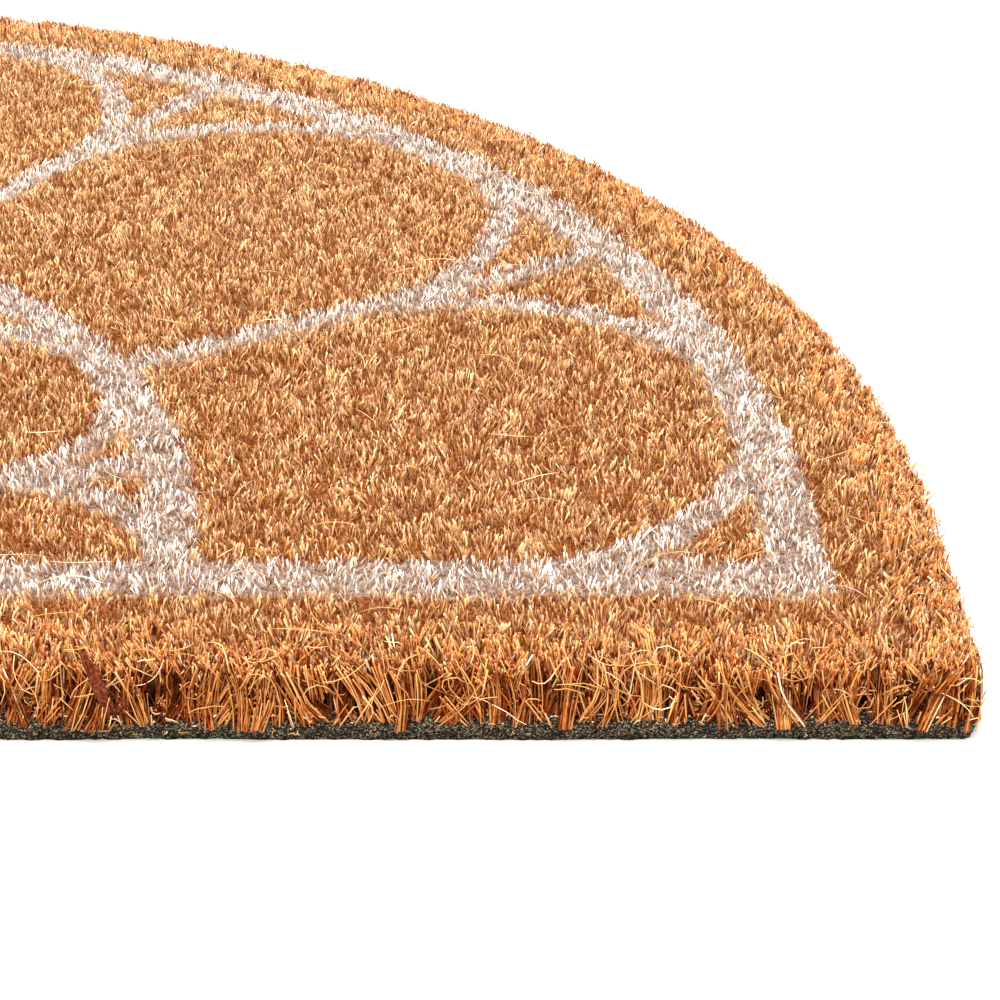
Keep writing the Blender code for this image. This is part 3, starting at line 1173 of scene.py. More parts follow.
@dataclass
class TipField:
    """The sheared tips over the whole top, in tufts that lean together."""

    outline: Outline
    line_work: LineWork
    bed: PileBed
    top: PileTop  # How high the tips are sheared
    tuft: float = 3.3 * MM  # The distance between tufts
    fibres: int = 17  # How many fibres a tuft has
    bunch: float = 0.6  # How wide a tuft's foot is, per unit of that distance
    width: float = 0.38 * MM
    widths: Range = (0.7, 1.2)
    pieces: int = 3  # How many meshes share the fibres
    patch: float = 14 * MM  # How wide a patch is whose tufts lean together
    drift: float = 0.16  # How far they do, per unit of height
    tuft_lean: float = 0.22
    fibre_lean: float = 0.24
    splay: float = 0.25  # How far a tuft's outer fibres lean away from its middle
    leaning: float = 4.5 * MM  # The most of its height over which a fibre leans
    rim: float = 3.8 * MM  # How far in the field begins
    flare: float = 0.42  # How far the fibres at the rim lean out
    flared: Range = (4 * MM, 15 * MM)  # The insets between which that ends
    edge_clear: float = 0.6 * MM  # How far inside the edge the tips are drawn back
    draw_back: float = 0.75  # How much of the way they are
    buried: float = 0.6 * MM  # How deep in the bed the fibres start
    # How much higher than the pile's top a tuft is sheared: the mean and the spread
    tuft_height: Range = (-0.1 * MM, 0.22 * MM)
    fibre_height: float = 0.2 * MM
    tone: float = 0.7
    tone_patch: float = 18 * MM  # How wide a patch of like tone is
    patch_tone: float = 0.05  # How far such patches differ in tone
    tuft_tone: float = 0.04  # How far tufts differ by themselves
    mix: ToneMix = ToneMix(own=0.08, pale=0.012)
    roller: Roller = Roller()
    seed: int = 21

    def build(self, material: bpy.types.Material) -> list[bpy.types.Object]:
        """Build the tips.

        Args:
            material: the coir.

        Returns:
            The tip pieces, from left to right.
        """
        rng = np.random.default_rng(self.seed)
        tufts = tuft_places(self.outline, self.tuft, self.rim, rng)
        owner = np.repeat(np.arange(len(tufts)), self.fibres)
        total = len(owner)
        lean, height, tone = (value[owner] for value in self.comb(tufts, rng))
        turn, far = rng.uniform(0, TURN, total), np.sqrt(rng.uniform(0, 1, total))
        offset = np.stack([np.cos(turn), np.sin(turn)], -1) * (far * self.tuft * self.bunch)[:, None]
        root = tufts[owner] + offset
        base = self.bed.height(root[:, 0], root[:, 1]) - self.buried
        slope = lean + rng.normal(0, self.fibre_lean, (total, 2)) + self.flare_out(root)
        slope += offset / self.tuft * self.splay
        end = self.drawn_back(root + slope * np.minimum(self.top.level - base, self.leaning)[:, None])
        x, y = end.T
        tip_z = self.top.rounded(x, y) + height + rng.normal(0, self.fibre_height, total)
        printed = self.roller.depth(self.line_work, x, y, rng)
        width = self.width * rng.uniform(*self.widths, total)
        tone = self.mix.choose(tone, rng)
        root, tip = np.column_stack([root, base]), np.column_stack([end, tip_z])
        order = np.argsort(root[:, 0], kind="stable")
        log.info("tips: %d fibres in %d tufts", total, len(tufts))
        return [
            FlatFibre().make(root[part], tip[part], width[part], tone[part], printed[part], rng).piece(
                f"tips_{number + 1}", material)
            for number, part in enumerate(np.array_split(order, self.pieces))]

    def comb(self, tufts: Array, rng: Rng) -> tuple[Array, Array, Array]:
        """Comb the tufts.

        Args:
            tufts: their places.
            rng: seeded randomness.

        Returns:
            Each tuft's lean per unit of height, its height over the pile's rounded top, and its tone.
        """
        x, y = tufts.T
        count = len(tufts)
        lean = np.stack([Ripples(self.patch, seed).at(x, y) for seed in (22, 23)], -1) * self.drift
        lean += rng.normal(0, self.tuft_lean, (count, 2))
        height = self.top.at(x, y) - self.top.rounded(x, y) + rng.normal(*self.tuft_height, count)
        tone = self.tone + self.patch_tone * Ripples(self.tone_patch, 24).at(x, y)
        return lean, height, tone + rng.normal(0, self.tuft_tone, count)

    def flare_out(self, root: Array) -> Array:
        """How far the fibres at the rim lean out, per unit of height."""
        inner = smooth_step(self.outline.inset(root[:, 0], root[:, 1]), *self.flared)
        return self.outward(root) * (self.flare * (1 - inner))[:, None]

    def drawn_back(self, end: Array) -> Array:
        """Draw the tips back that would reach past the edge."""
        beyond = np.maximum(self.edge_clear - self.outline.inset(end[:, 0], end[:, 1]), 0.0)
        return end - self.outward(end) * self.draw_back * beyond[:, None]

    def outward(self, places: Array) -> Array:
        """The direction from each place to the nearest edge.

        Args:
            places: one row for each place.

        Returns:
            One direction for each place.
        """
        step = 1 * MM
        x, y = places.T
        here = self.outline.inset(x, y)
        along = [here - self.outline.inset(x + step, y), here - self.outline.inset(x, y + step)]
        return unit(np.stack(along, -1))


@dataclass(frozen=True)
class Row:
    """One row of bundles in the rim's brush."""

    name: str
    spacing: float
    strands: tuple[int, int]  # The fewest and most strands in a bundle
    foot: Range  # The nearest and furthest that a bundle's middle stands inside the edge
    spread: Range  # A bundle's half width at its root and at its tips
    width: float
    steps: int  # How many points a strand's path has
    tone: float  # The bundles' middle tone
    cover: float = 1.0  # How much of the rim the row covers, in patches
    lying: float = 0.0  # The share of long strands, which lie back over the top
    splay: float = 1.0  # How many times as far as the others these bundles lean along the rim
    hanging: float = 0.0  # The share of bundles with feet that hang down over the backing's side
    stubs: Range | None = None  # The shortest and tallest strand of a row that is broken off, if it is


@dataclass(frozen=True)
class Reading:
    """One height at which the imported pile's side is read, so that the bundles follow its locks."""

    height: float
    further_out: float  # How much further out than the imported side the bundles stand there
    insets: Range  # The least and the most that they stand inside the edge


@dataclass
class Bundles:
    """A row's bundles, or once they are picked for each strand, the strands' own bundles."""

    places: EdgePlaces
    anchors: Array  # How far inside the edge each is at its foot, its middle and its tips
    strands: Array
    calm: Array  # How much of its lean each keeps, which is less on a round corner
    sway: Array
    tone: Array
    bend: Array
    drop: Array  # How much lower than the pile's top it is sheared
    hang: Array

    def pick(self, numbers: Array) -> "Bundles":
        """Take the bundles with these numbers."""
        values = {f.name: getattr(self, f.name)[numbers] for f in fields(self) if f.name != "places"}
        return Bundles(self.places.pick(numbers), **values)


@dataclass
class BundledStrands:
    """How each strand of a row stands in its bundle."""

    bundle: Bundles
    aside: Array  # How far beside the bundle's middle it stands, per unit of the bundle's half width
    behind: Array  # How far behind the bundle's front it stands, likewise
    bow: Array
    lean: Array
    lying: Array  # Whether it lies back over the top
    laid_back: Array
    spread: Array  # The bundle's half width at the root and at the tips


@dataclass
class RimBrush:
    """The long strands round the rim, in bundles that lean, fan out and cross."""

    outline: Outline
    backing: Backing
    bed: PileBed  # The bed that the inner strands rise from
    top: PileTop  # How high the strands are sheared
    # Painted shade: the rows are painted much darker than the tips, for the shade on the rim's face; the back
    # row darkest, for the shade behind the front locks
    rows: tuple[Row, ...] = (
        Row("rim_locks", spacing=3.8 * MM, strands=(15, 28), foot=(0.4 * MM, 1.3 * MM),
            spread=(1.6 * MM, 2.2 * MM), width=0.4 * MM, steps=4, tone=0.16, cover=0.95, lying=0.2,
            hanging=0.14),
        Row("rim_back_locks", spacing=2.6 * MM, strands=(9, 16), foot=(1.6 * MM, 3.2 * MM),
            spread=(1.5 * MM, 1.5 * MM), width=0.42 * MM, steps=2, tone=0.03, lying=0.2),
        Row("rim_stubs", spacing=3.2 * MM, strands=(2, 6), foot=(0.3 * MM, 1.4 * MM),
            spread=(1.2 * MM, 1.6 * MM), width=0.3 * MM, steps=2, tone=0.3, splay=1.9,
            stubs=(2.0 * MM, 7.5 * MM)),
    )
    jitter: float = 0.4  # How far a bundle moves along the rim, per unit of spacing
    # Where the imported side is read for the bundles' middles
    middle: Reading = Reading(height=12.5 * MM, further_out=0.9 * MM, insets=(0.2 * MM, 2.0 * MM))
    # Where it is read for their tips
    upper: Reading = Reading(height=17.6 * MM, further_out=2.4 * MM, insets=(0.3 * MM, 2.1 * MM))
    # The inset of the foremost feet, from which a whole bundle steps back with its foot
    front_foot: float = 0.4 * MM
    # How much further out than their feet stubs are in their middle and at their ends
    stub_tilt: Range = (0.4 * MM, 0.9 * MM)
    gaps: float = 0.3  # How far chance decides where a row has gaps
    patch: float = 16 * MM  # How wide the gaps and the stretches between them are
    sheaves: float = 0.35  # The share of bundles that have their spreads the other way round
    spreads: Range = (0.75, 1.3)  # The narrowest and widest bundle, per unit of spread
    together: float = 14 * MM  # How wide a patch is whose bundles lean together
    sway: float = 0.33  # How far they do, per unit of height
    stray_sway: float = 0.26  # How far each leans by itself
    most_sway: float = 0.65  # How far it leans at most
    strand_sway: float = 0.04  # How far strands differ in lean in one bundle
    crossing: float = 0.07  # The share of strands that cross the others
    crossing_sway: Range = (0.35, 0.5)  # How far they lean across, and at most
    bend: float = 1.2 * MM  # How far each bundle bows along the rim
    strand_bend: float = 0.35 * MM  # How far strands differ in that
    flat: float = 0.7  # Half a bundle's depth, per unit of its half width
    laid_back: Range = (1 * MM, 7 * MM)  # How much further in the tips of long strands lie
    lying_lift: float = 0.5 * MM  # How much higher than the pile's top they lie
    ragged: float = 0.55 * MM  # How unevenly the tips of one bundle are sheared
    lock_ragged: float = 1.3 * MM  # How unevenly high the bundles are
    lock_mean: float = 0.4  # How much of that lifts them on average
    short: float = 0.12  # The share of strands that end below the others
    shortened: Range = (0.5 * MM, 6.0 * MM)  # How far below
    hang: Range = (0.1 * MM, 0.7 * MM)  # How far feet hang over the backing's side
    hung_foot: float = 0.2 * MM  # The inset of a bundle whose feet hang over
    hung_inset: float = 0.9 * MM  # The inset up to which its strands do
    hung_out: float = 0.3 * MM  # How far outside the edge they stand
    hung_share: Range = (0.2, 1.3)  # How far each hangs, per unit of its bundle's
    buried: float = 0.5 * MM  # How deep the strands start in what carries them
    wander: float = 0.08  # How far a strand's inner points slip along it
    widths: Range = (0.7, 1.25)
    taper: Range = (1.05, 0.85)  # How wide a strand is at its root and at its tip, in units of width
    bundle_tone: float = 0.08  # How far bundles differ in tone
    lit: float = 0.35  # How far behind a bundle's front its middle tone is
    # How much darker the strands at a bundle's back are: painted shade
    depth_shade: float = 0.38
    # Painted light: the long strands that lie back over the lit top are painted paler
    lying_lit_tone: float = 0.12  # How much paler the long strands are
    mix: ToneMix = ToneMix(own=0.13, pale=0.008)
    corner_inset: float = 1.2 * MM  # How much further in the bundles on a front corner stand above their feet
    corner_reach: float = 0.6  # How far in they stand at most, per unit of the corner's radius
    corner_calm: float = 0.4  # How much of their lean they keep
    seed: int = 41

    def build(self, material: bpy.types.Material) -> list[bpy.types.Object]:
        """Build the rows."""
        rng = np.random.default_rng(self.seed)
        return [self.build_row(row, material, rng) for row in self.rows]

    def build_row(self, row: Row, material: bpy.types.Material, rng: Rng) -> bpy.types.Object:
        """Build one row of bundles.

        Args:
            row: the row's sizes.
            material: the coir.
            rng: seeded randomness.

        Returns:
            The row as one piece.
        """
        bundles = self.lay_bundles(row, rng)
        strands = self.lay_strands(row, bundles, rng)
        total = len(strands.aside)
        paths = self.trace(row, strands, rng)
        width = row.width * rng.uniform(*self.widths, total)[:, None] * np.linspace(*self.taper, row.steps)
        # Painted shade at each bundle's back, and painted light on the strands that lie back over the top
        shade = strands.bundle.tone - self.depth_shade * (strands.behind - self.lit)
        tone = self.mix.choose(shade + self.lying_lit_tone * strands.lying, rng)
        log.info("%s: %d strands in %d bundles", row.name, total, len(bundles.strands))
        facing = strands.bundle.places.level_out
        return RoundStrand(rooted=True).make(paths, width, facing, tone, rng).piece(row.name, material)

    def anchors(self, row: Row, s: Array, rng: Rng) -> Array:
        """How far inside the edge each bundle stands at its foot, its middle and its tips.

        Args:
            row: the row's sizes.
            s: the bundles' places along the rim.
            rng: seeded randomness.

        Returns:
            Three insets for each bundle.
        """
        foot = rng.uniform(*row.foot, len(s))
        if row.stubs:
            return np.stack([foot] + [foot - tilt for tilt in self.stub_tilt], -1)
        insets = [foot]
        for reading in (self.middle, self.upper):
            side = self.top.solid.edge(self.outline, s, np.full(len(s), reading.height))
            insets.append(np.clip(side - reading.further_out, *reading.insets) + (foot - self.front_foot))
        return np.stack(insets, -1)

    def lay_bundles(self, row: Row, rng: Rng) -> Bundles:
        """Lay out one row's bundles.

        Args:
            row: the row's sizes.
            rng: seeded randomness.

        Returns:
            The bundles.
        """
        count = round(self.outline.length / row.spacing)
        s = (np.arange(count) + rng.uniform(-self.jitter, self.jitter, count)) * self.outline.length / count
        places = self.outline.walk(s)
        anchors = self.anchors(row, s, rng)
        on_corner = self.outline.on_corner(places)
        anchors[on_corner, 1:] += self.corner_inset
        anchors[on_corner] = np.minimum(anchors[on_corner], self.outline.corner * self.corner_reach)
        strands = rng.integers(*row.strands, count)
        strands[on_corner] //= 2
        patches = Ripples(self.patch, 43).at(s, 0 * s) + rng.normal(0, self.gaps, count)
        strands[patches > np.quantile(patches, row.cover)] = 0
        sway = self.sway * Ripples(self.together, 42).at(s, 0 * s) + rng.normal(0, self.stray_sway, count)
        calm = np.where(on_corner, self.corner_calm, 1.0)
        sway = np.clip(sway * row.splay, -self.most_sway, self.most_sway) * calm
        tone = row.tone + rng.normal(0, self.bundle_tone, count)
        bend = rng.normal(0, self.bend, count)
        drop = np.abs(rng.normal(0, self.lock_ragged, count)) - self.lock_mean * self.lock_ragged
        hang = np.where(rng.uniform(0, 1, count) < row.hanging, rng.uniform(*self.hang, count), 0.0)
        anchors[:, 0] = np.where(hang > 0, self.hung_foot, anchors[:, 0])
        return Bundles(places, anchors, strands, calm, sway, tone, bend, drop, hang)

    def lay_strands(self, row: Row, bundles: Bundles, rng: Rng) -> BundledStrands:
        """Lay out the strands of a row's bundles.

        Args:
            row: the row's sizes.
            bundles: its bundles.
            rng: seeded randomness.

        Returns:
            The strands.
        """
        count = len(bundles.strands)
        owner = np.repeat(np.arange(count), bundles.strands)
        total = len(owner)
        bundle = bundles.pick(owner)
        turn, far = rng.uniform(0, TURN, total), np.sqrt(rng.uniform(0, 1, total))
        aside, behind = np.cos(turn) * far, np.sin(turn) * far * self.flat + 0.5
        bow = bundle.bend + rng.normal(0, self.strand_bend, total)
        crosses = rng.uniform(0, 1, total) < self.crossing
        across, most = self.crossing_sway
        stray = np.clip(rng.normal(0, across, total), -most, most) * crosses * bundle.calm
        lean = bundle.sway + rng.normal(0, self.strand_sway, total) + stray
        lying = rng.uniform(0, 1, total) < row.lying
        laid_back = np.where(lying, rng.uniform(*self.laid_back, total), 0.0)
        spread = np.array(row.spread)[:, None] * rng.uniform(*self.spreads, (2, count))
        spread = np.where(rng.uniform(0, 1, count) < self.sheaves, spread[::-1], spread)[:, owner]
        return BundledStrands(bundle, aside, behind, bow, lean, lying, laid_back, spread)

    def feet(self, strands: BundledStrands, rng: Rng) -> tuple[Array, Array]:
        """Stand the strands on the backing or in the bed, or hang their feet over the backing's side.

        Args:
            strands: the row's strands.
            rng: seeded randomness.

        Returns:
            The feet's heights, and how far out of their lines they stand.
        """
        bundle = strands.bundle
        inset = bundle.anchors[:, 0] + strands.behind * strands.spread[0]
        bed = self.bed.height(*bundle.places.inside(inset).T) * (inset > self.bed.inset)
        height = np.maximum(self.backing.top_height(inset), bed) - self.buried
        hangs = (bundle.hang > 0) & (inset < self.hung_inset)
        height -= np.where(hangs, bundle.hang * rng.uniform(*self.hung_share, len(inset)), 0.0)
        return height, np.where(hangs, inset + self.hung_out, 0.0)

    def tip_heights(self, row: Row, strands: BundledStrands, foot: Array, rng: Rng) -> Array:
        """Shear the strands.

        Args:
            row: the row's sizes.
            strands: its strands.
            foot: their feet's heights.
            rng: seeded randomness.

        Returns:
            The heights of the strands' tips.
        """
        bundle = strands.bundle
        total = len(foot)
        half = strands.spread[1]
        across = strands.aside * half + strands.lean * (self.top.level - foot)
        tip = bundle.places.at(across, bundle.anchors[:, 2] + strands.behind * half + strands.laid_back)
        height = self.top.at(*tip.T) + rng.normal(0, self.ragged, total)
        height += np.where(strands.lying, self.lying_lift, -bundle.drop)
        short = ~strands.lying & (rng.uniform(0, 1, total) < self.short)
        height = np.where(short, height - rng.uniform(*self.shortened, total), height)
        return foot + rng.uniform(*row.stubs, total) if row.stubs else height

    def trace(self, row: Row, strands: BundledStrands, rng: Rng) -> Array:
        """Trace the strands' paths.

        Args:
            row: the row's sizes.
            strands: its strands.
            rng: seeded randomness.

        Returns:
            The middle points, strand by strand.
        """
        foot, out = self.feet(strands, rng)
        tip = self.tip_heights(row, strands, foot, rng)
        low, middle, high = strands.bundle.anchors.T
        root_half, tip_half = strands.spread
        paths = np.zeros((len(foot), row.steps, 3))
        for step in range(row.steps):
            t = np.full(len(foot), step / (row.steps - 1))
            if 0 < step < row.steps - 1:
                t += rng.uniform(-self.wander, self.wander, len(foot))
            z = foot + (tip - foot) * t
            line = low + (middle - low) * np.minimum(2 * t, 1.0)
            line += (high - middle) * np.maximum(2 * t - 1, 0.0)
            half = root_half + (tip_half - root_half) * t
            across = strands.aside * half + strands.lean * (z - foot) + strands.bow * 4 * t * (1 - t)
            inset = line + strands.behind * half + strands.laid_back * t ** 2 - out * (1 - t) ** 2
            paths[:, step, :2] = strands.bundle.places.at(across, inset)
            paths[:, step, 2] = z
        return paths


@dataclass
class SplayedStrands:
    """The strands that splay out of the rim, with nothing beside them to hold them up.

    Their ends cover the rim from the backing up over the shoulder, and each leans out of the bed behind.
    Places on this strip are measured up the face and on over the top.
    """

    outline: Outline
    top: PileTop  # How high the strands are sheared
    strands: int = 23400
    on_face: float = 0.15  # The share that ends below the shoulder
    clump: int = 12  # How many lean together
    clump_size: Range = (1.0 * MM, 0.8 * MM)  # How far apart they end, along the rim and up the strip
    width: float = 0.4 * MM
    widths: Range = (0.7, 1.25)
    length: Range = (5 * MM, 8 * MM)
    low: float = 6.5 * MM  # The lowest strand's end
    face: float = 17.4 * MM  # The height where the shoulder begins
    start: float = 0.8 * MM  # How far in the first end on the top is
    reach: float = 15 * MM  # How far in the last end is
    past_side: float = 0.5 * MM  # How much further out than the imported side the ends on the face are
    face_insets: Range = (0.1 * MM, 1.5 * MM)  # The least and the most that they are inside the edge
    face_depth: float = 0.8 * MM  # How far behind that they scatter
    # How much higher than the pile's top the ends there are: the mean and the spread
    top_height: Range = (-0.2 * MM, 0.3 * MM)
    # How far out of upright the lowest, the shoulder's and the last strands lean, in degrees
    lean: tuple[float, float, float] = (50, 16, 6)
    patch: float = 13 * MM  # How wide a patch is whose clumps lean together
    # How far clumps differ in leaning out, with their patch and by themselves, in radians
    clump_tilt: Range = (0.16, 0.16)
    strand_tilt: float = 0.12
    sway: float = 0.42  # How far the patches lean along the rim
    clump_sway: float = 0.2
    strand_sway: float = 0.07
    # Painted shade: the clumps are painted darker than the tips, like the darker rim
    tone: float = 0.3  # The clumps' middle tone
    clump_tone: Range = (0.05, 0.05)  # How far clumps differ in tone, with their patch and by themselves
    # Painted shade: how much darker the lowest strands on the face are painted
    low_shade: float = 0.12  # How much darker the lowest strands are
    mix: ToneMix = ToneMix(own=0.13, pale=0.01)
    corner_inset: float = 1.0 * MM  # How much further in the strands on a front corner end
    seed: int = 46

    @property
    def shoulder(self) -> float:
        """How far up the strip the shoulder is."""
        return self.face - self.low

    @property
    def span(self) -> float:
        """How long the strip is."""
        return self.shoulder + self.reach - self.start

    def build(self, material: bpy.types.Material) -> list[bpy.types.Object]:
        """Build the strands.

        Args:
            material: the coir.

        Returns:
            The left piece and the right one.
        """
        rng = np.random.default_rng(self.seed)
        count = self.strands // self.clump
        clump_s = rng.uniform(0, self.outline.length, count)
        clump_u = np.interp(rng.uniform(0, 1, count), [0, self.on_face, 1], [0, self.shoulder, self.span])
        owner = np.repeat(np.arange(count), self.clump)
        total = len(owner)
        tilt, sway, tone = (value[owner] for value in self.comb(clump_s, clump_u, rng))
        along, up = self.clump_size
        s = clump_s[owner] + rng.normal(0, along, total)
        u = np.clip(clump_u[owner] + rng.normal(0, up, total), 0, self.span)
        places = self.outline.walk(s)
        tip = self.ends(places, s, u, rng)
        upright = np.radians(np.interp(u, [0, self.shoulder, self.span], self.lean))
        lean = upright + tilt + rng.normal(0, self.strand_tilt, total)
        side = sway + rng.normal(0, self.strand_sway, total)
        length = rng.uniform(*self.length, total)
        ahead = unit(np.column_stack([
            places.outward * np.sin(lean)[:, None] + places.forward * np.sin(side)[:, None], np.cos(lean)]))
        root = tip - ahead * length[:, None]
        root[:, 2] = np.maximum(root[:, 2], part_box("coir_pile")[0].z)
        paths = np.stack([root, tip], 1)
        width = self.width * rng.uniform(*self.widths, total)[:, None] * np.ones(2)
        # Painted shade, darker low on the face
        tone = self.mix.choose(tone - self.low_shade * (1 - smooth_step(u, 0, self.shoulder)), rng)
        facing = places.level_forward
        order = np.argsort(places.points[:, 0], kind="stable")
        log.info("splayed strands: %d in %d clumps", total, count)
        return [
            RoundStrand(rooted=True).make(paths[part], width[part], facing[part], tone[part], rng).piece(
                name, material)
            for name, part in zip(("rim_splay_left", "rim_splay_right"), np.array_split(order, 2))]

    def comb(self, s: Array, u: Array, rng: Rng) -> tuple[Array, Array, Array]:
        """Comb the clumps.

        Args:
            s: their places along the rim.
            u: their places up the strip.
            rng: seeded randomness.

        Returns:
            How much further out each leans, how far along the rim, and its tone.
        """
        count = len(s)
        out, along = (Ripples(self.patch, seed).at(s, u) for seed in (47, 48))
        tilt = rng.normal(0, self.clump_tilt[1], count) + self.clump_tilt[0] * out
        sway = rng.normal(0, self.clump_sway, count) + self.sway * along
        return tilt, sway, self.tone + self.clump_tone[0] * out + rng.normal(0, self.clump_tone[1], count)

    def ends(self, places: EdgePlaces, s: Array, u: Array, rng: Rng) -> Array:
        """Set the strands' ends on the face and over the top.

        Args:
            places: where along the edge they are.
            s: the same places, as distances along it.
            u: how far up the strip they are.
            rng: seeded randomness.

        Returns:
            The ends.
        """
        on_face = u < self.shoulder
        above = ~on_face
        inset = np.where(on_face, 0.0, self.start + u - self.shoulder)
        inset += self.corner_inset * self.outline.on_corner(places)
        z = np.where(on_face, self.low + u, 0.0)
        edge = self.top.solid.edge(self.outline, s[on_face], z[on_face])
        behind = np.abs(rng.normal(0, self.face_depth, len(edge)))
        inset[on_face] += np.clip(edge - self.past_side, *self.face_insets) + behind
        flat = places.inside(inset)
        z[above] = self.top.at(*flat[above].T) + rng.normal(*self.top_height, above.sum())
        return np.column_stack([flat, z])


def thin_strand(width: float, widths: Range, count: int, steps: int, rng: Rng) -> Array:
    """Thin fibres out towards their ends."""
    root, tip = 1.1, 0.7
    return width * rng.uniform(*widths, count)[:, None] * np.linspace(root, tip, steps)


@dataclass
class LooseFibres:
    """Thin curly fibres that have worked loose: over the rim's face, out of it, and across the top."""

    outline: Outline
    line_work: LineWork
    width: float = 0.2 * MM
    uneven: Range = (0.5, 1.5)  # How unevenly a fibre curls along its length
    on_rim: int = 1700  # How many lie over the rim's face
    rim_steps: int = 6
    rim_length: Range = (3 * MM, 12 * MM)
    rim_curl: Range = (1.8 * MM, 14 * MM)
    rim_widths: Range = (0.7, 1.5)
    rim_tones: Range = (0.46, 0.82)
    over_backing: float = 0.3 * MM  # How far over the backing they stay
    over_top: float = 0.9 * MM  # How far over the pile's top they reach
    rim_start: float = 1 * MM  # How far above their lowest height they start
    rim_inset: float = 1.6 * MM  # How far inside the edge the face is that they lie on
    rim_lift: Range = (-0.9 * MM, 0.5 * MM)  # How far each lies out of that
    rim_waver: float = 0.3 * MM  # How far it wavers in and out from point to point
    astray: float = 0.22  # The share that sticks out of the face
    stray_reach: float = 4.5 * MM  # How far they stick out at most
    stray_bend: float = 1.3  # How late along their length they do
    lean_in: float = 0.7  # How fast the face leans in near the top
    leaning: float = 3.5 * MM  # How far below the highest fibres that begins
    on_top: int = 700  # How many lie across the top
    top_steps: int = 5
    top_spacing: float = 4 * MM  # How far apart they start at least
    top_inset: float = 6 * MM
    top_length: Range = (4 * MM, 15 * MM)
    top_curl: Range = (5 * MM, 40 * MM)
    top_widths: Range = (0.7, 1.2)
    top_tones: Range = (0.45, 0.82)
    top_print: Range = (0.2, 0.9)  # How deep the pigment reaches on those that start on a line
    sunk: float = 0.35 * MM  # How far their ends lie in the tips
    arch: Range = (0.1 * MM, 1.3 * MM)  # How far they arch up between their ends
    shoulder: float = 4 * MM  # The inset below which they follow the shoulder down
    shoulder_slope: float = 0.6  # How fast it comes down
    seed: int = 51

    def build(self, material: bpy.types.Material) -> list[bpy.types.Object]:
        """Build both lots of loose fibres.

        Args:
            material: the coir.

        Returns:
            The piece on the rim and the piece on the top.
        """
        rng = np.random.default_rng(self.seed)
        return [self.over_rim(rng).piece("loose_fibres_rim", material),
                self.across_top(rng).piece("loose_fibres_top", material)]

    def curl(self, rng: Rng, count: int, steps: int, length: Array, radius: Range) -> Array:
        """Curl fibres in a plane.

        Args:
            rng: seeded randomness.
            count: how many fibres.
            steps: how many points each has.
            length: each fibre's length.
            radius: the tightest and the slackest curl.

        Returns:
            The points in the plane, each fibre's from its start.
        """
        bend = rng.choice([-1, 1], count) / np.exp(rng.uniform(*np.log(radius), count))
        heading = rng.uniform(0, TURN, count)[:, None] + np.cumsum(
            bend[:, None] * (length / steps)[:, None] * rng.uniform(*self.uneven, (count, steps)), 1)
        stride = np.stack([np.cos(heading), np.sin(heading)], -1) * (length / (steps - 1))[:, None, None]
        stride[:, 0] = 0
        return np.cumsum(stride, 1)

    def over_rim(self, rng: Rng) -> Strands:
        """Build the fibres over the rim's face, some of which stick out.

        Args:
            rng: seeded randomness.

        Returns:
            The fibres.
        """
        count, steps = self.on_rim, self.rim_steps
        length = rng.uniform(*self.rim_length, count)
        plane = self.curl(rng, count, steps, length, self.rim_curl)
        places = self.outline.walk(rng.uniform(0, self.outline.length, count))
        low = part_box("vinyl_backing")[1].z + self.over_backing
        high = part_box("coir_pile")[1].z + self.over_top
        start = rng.uniform(low + self.rim_start, high, count)
        z = np.clip(start[:, None] + plane[..., 1], low, high)
        lift = rng.uniform(*self.rim_lift, count)[:, None]
        lift = lift + np.cumsum(rng.normal(0, self.rim_waver, (count, steps)), 1)
        astray = rng.uniform(0, 1, count) < self.astray
        reach = np.where(astray, rng.uniform(0, self.stray_reach, count), 0)
        lift += reach[:, None] * np.linspace(0, 1, steps) ** self.stray_bend
        lean_in = np.maximum(z - (high - self.leaning), 0) * self.lean_in
        flat = places.at(plane[..., 0], self.rim_inset - lift + lean_in)
        paths = np.concatenate([flat, z[..., None]], -1)
        width = thin_strand(self.width, self.rim_widths, count, steps, rng)
        facing = places.level_out + OFF_AXIS
        return RoundStrand().make(paths, width, facing, rng.uniform(*self.rim_tones, count), rng)

    def across_top(self, rng: Rng) -> Strands:
        """Build the fibres that lie across the tips.

        Args:
            rng: seeded randomness.

        Returns:
            The fibres.
        """
        places = tuft_places(self.outline, self.top_spacing, self.top_inset, rng)
        places = places[rng.permutation(len(places))[:self.on_top]]
        count, steps = len(places), self.top_steps
        length = rng.uniform(*self.top_length, count)
        plane = places[:, None] + self.curl(rng, count, steps, length, self.top_curl)
        inset = self.outline.inset(plane[..., 0], plane[..., 1])
        rise = rng.uniform(*self.arch, count)[:, None] * np.sin(np.linspace(0, math.pi, steps))
        down = np.maximum(self.shoulder - inset, 0) * self.shoulder_slope
        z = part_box("coir_pile")[1].z - self.sunk + rise - down
        paths = np.concatenate([plane, z[..., None]], -1)
        width = thin_strand(self.width, self.top_widths, count, steps, rng)
        on_line = self.line_work.depth(places[:, 0], places[:, 1]) > 0
        printed = on_line * rng.uniform(*self.top_print, count)
        tone = rng.uniform(*self.top_tones, count)
        return RoundStrand().make(paths, width, np.tile(UP, (count, 1)), tone, rng, printed)


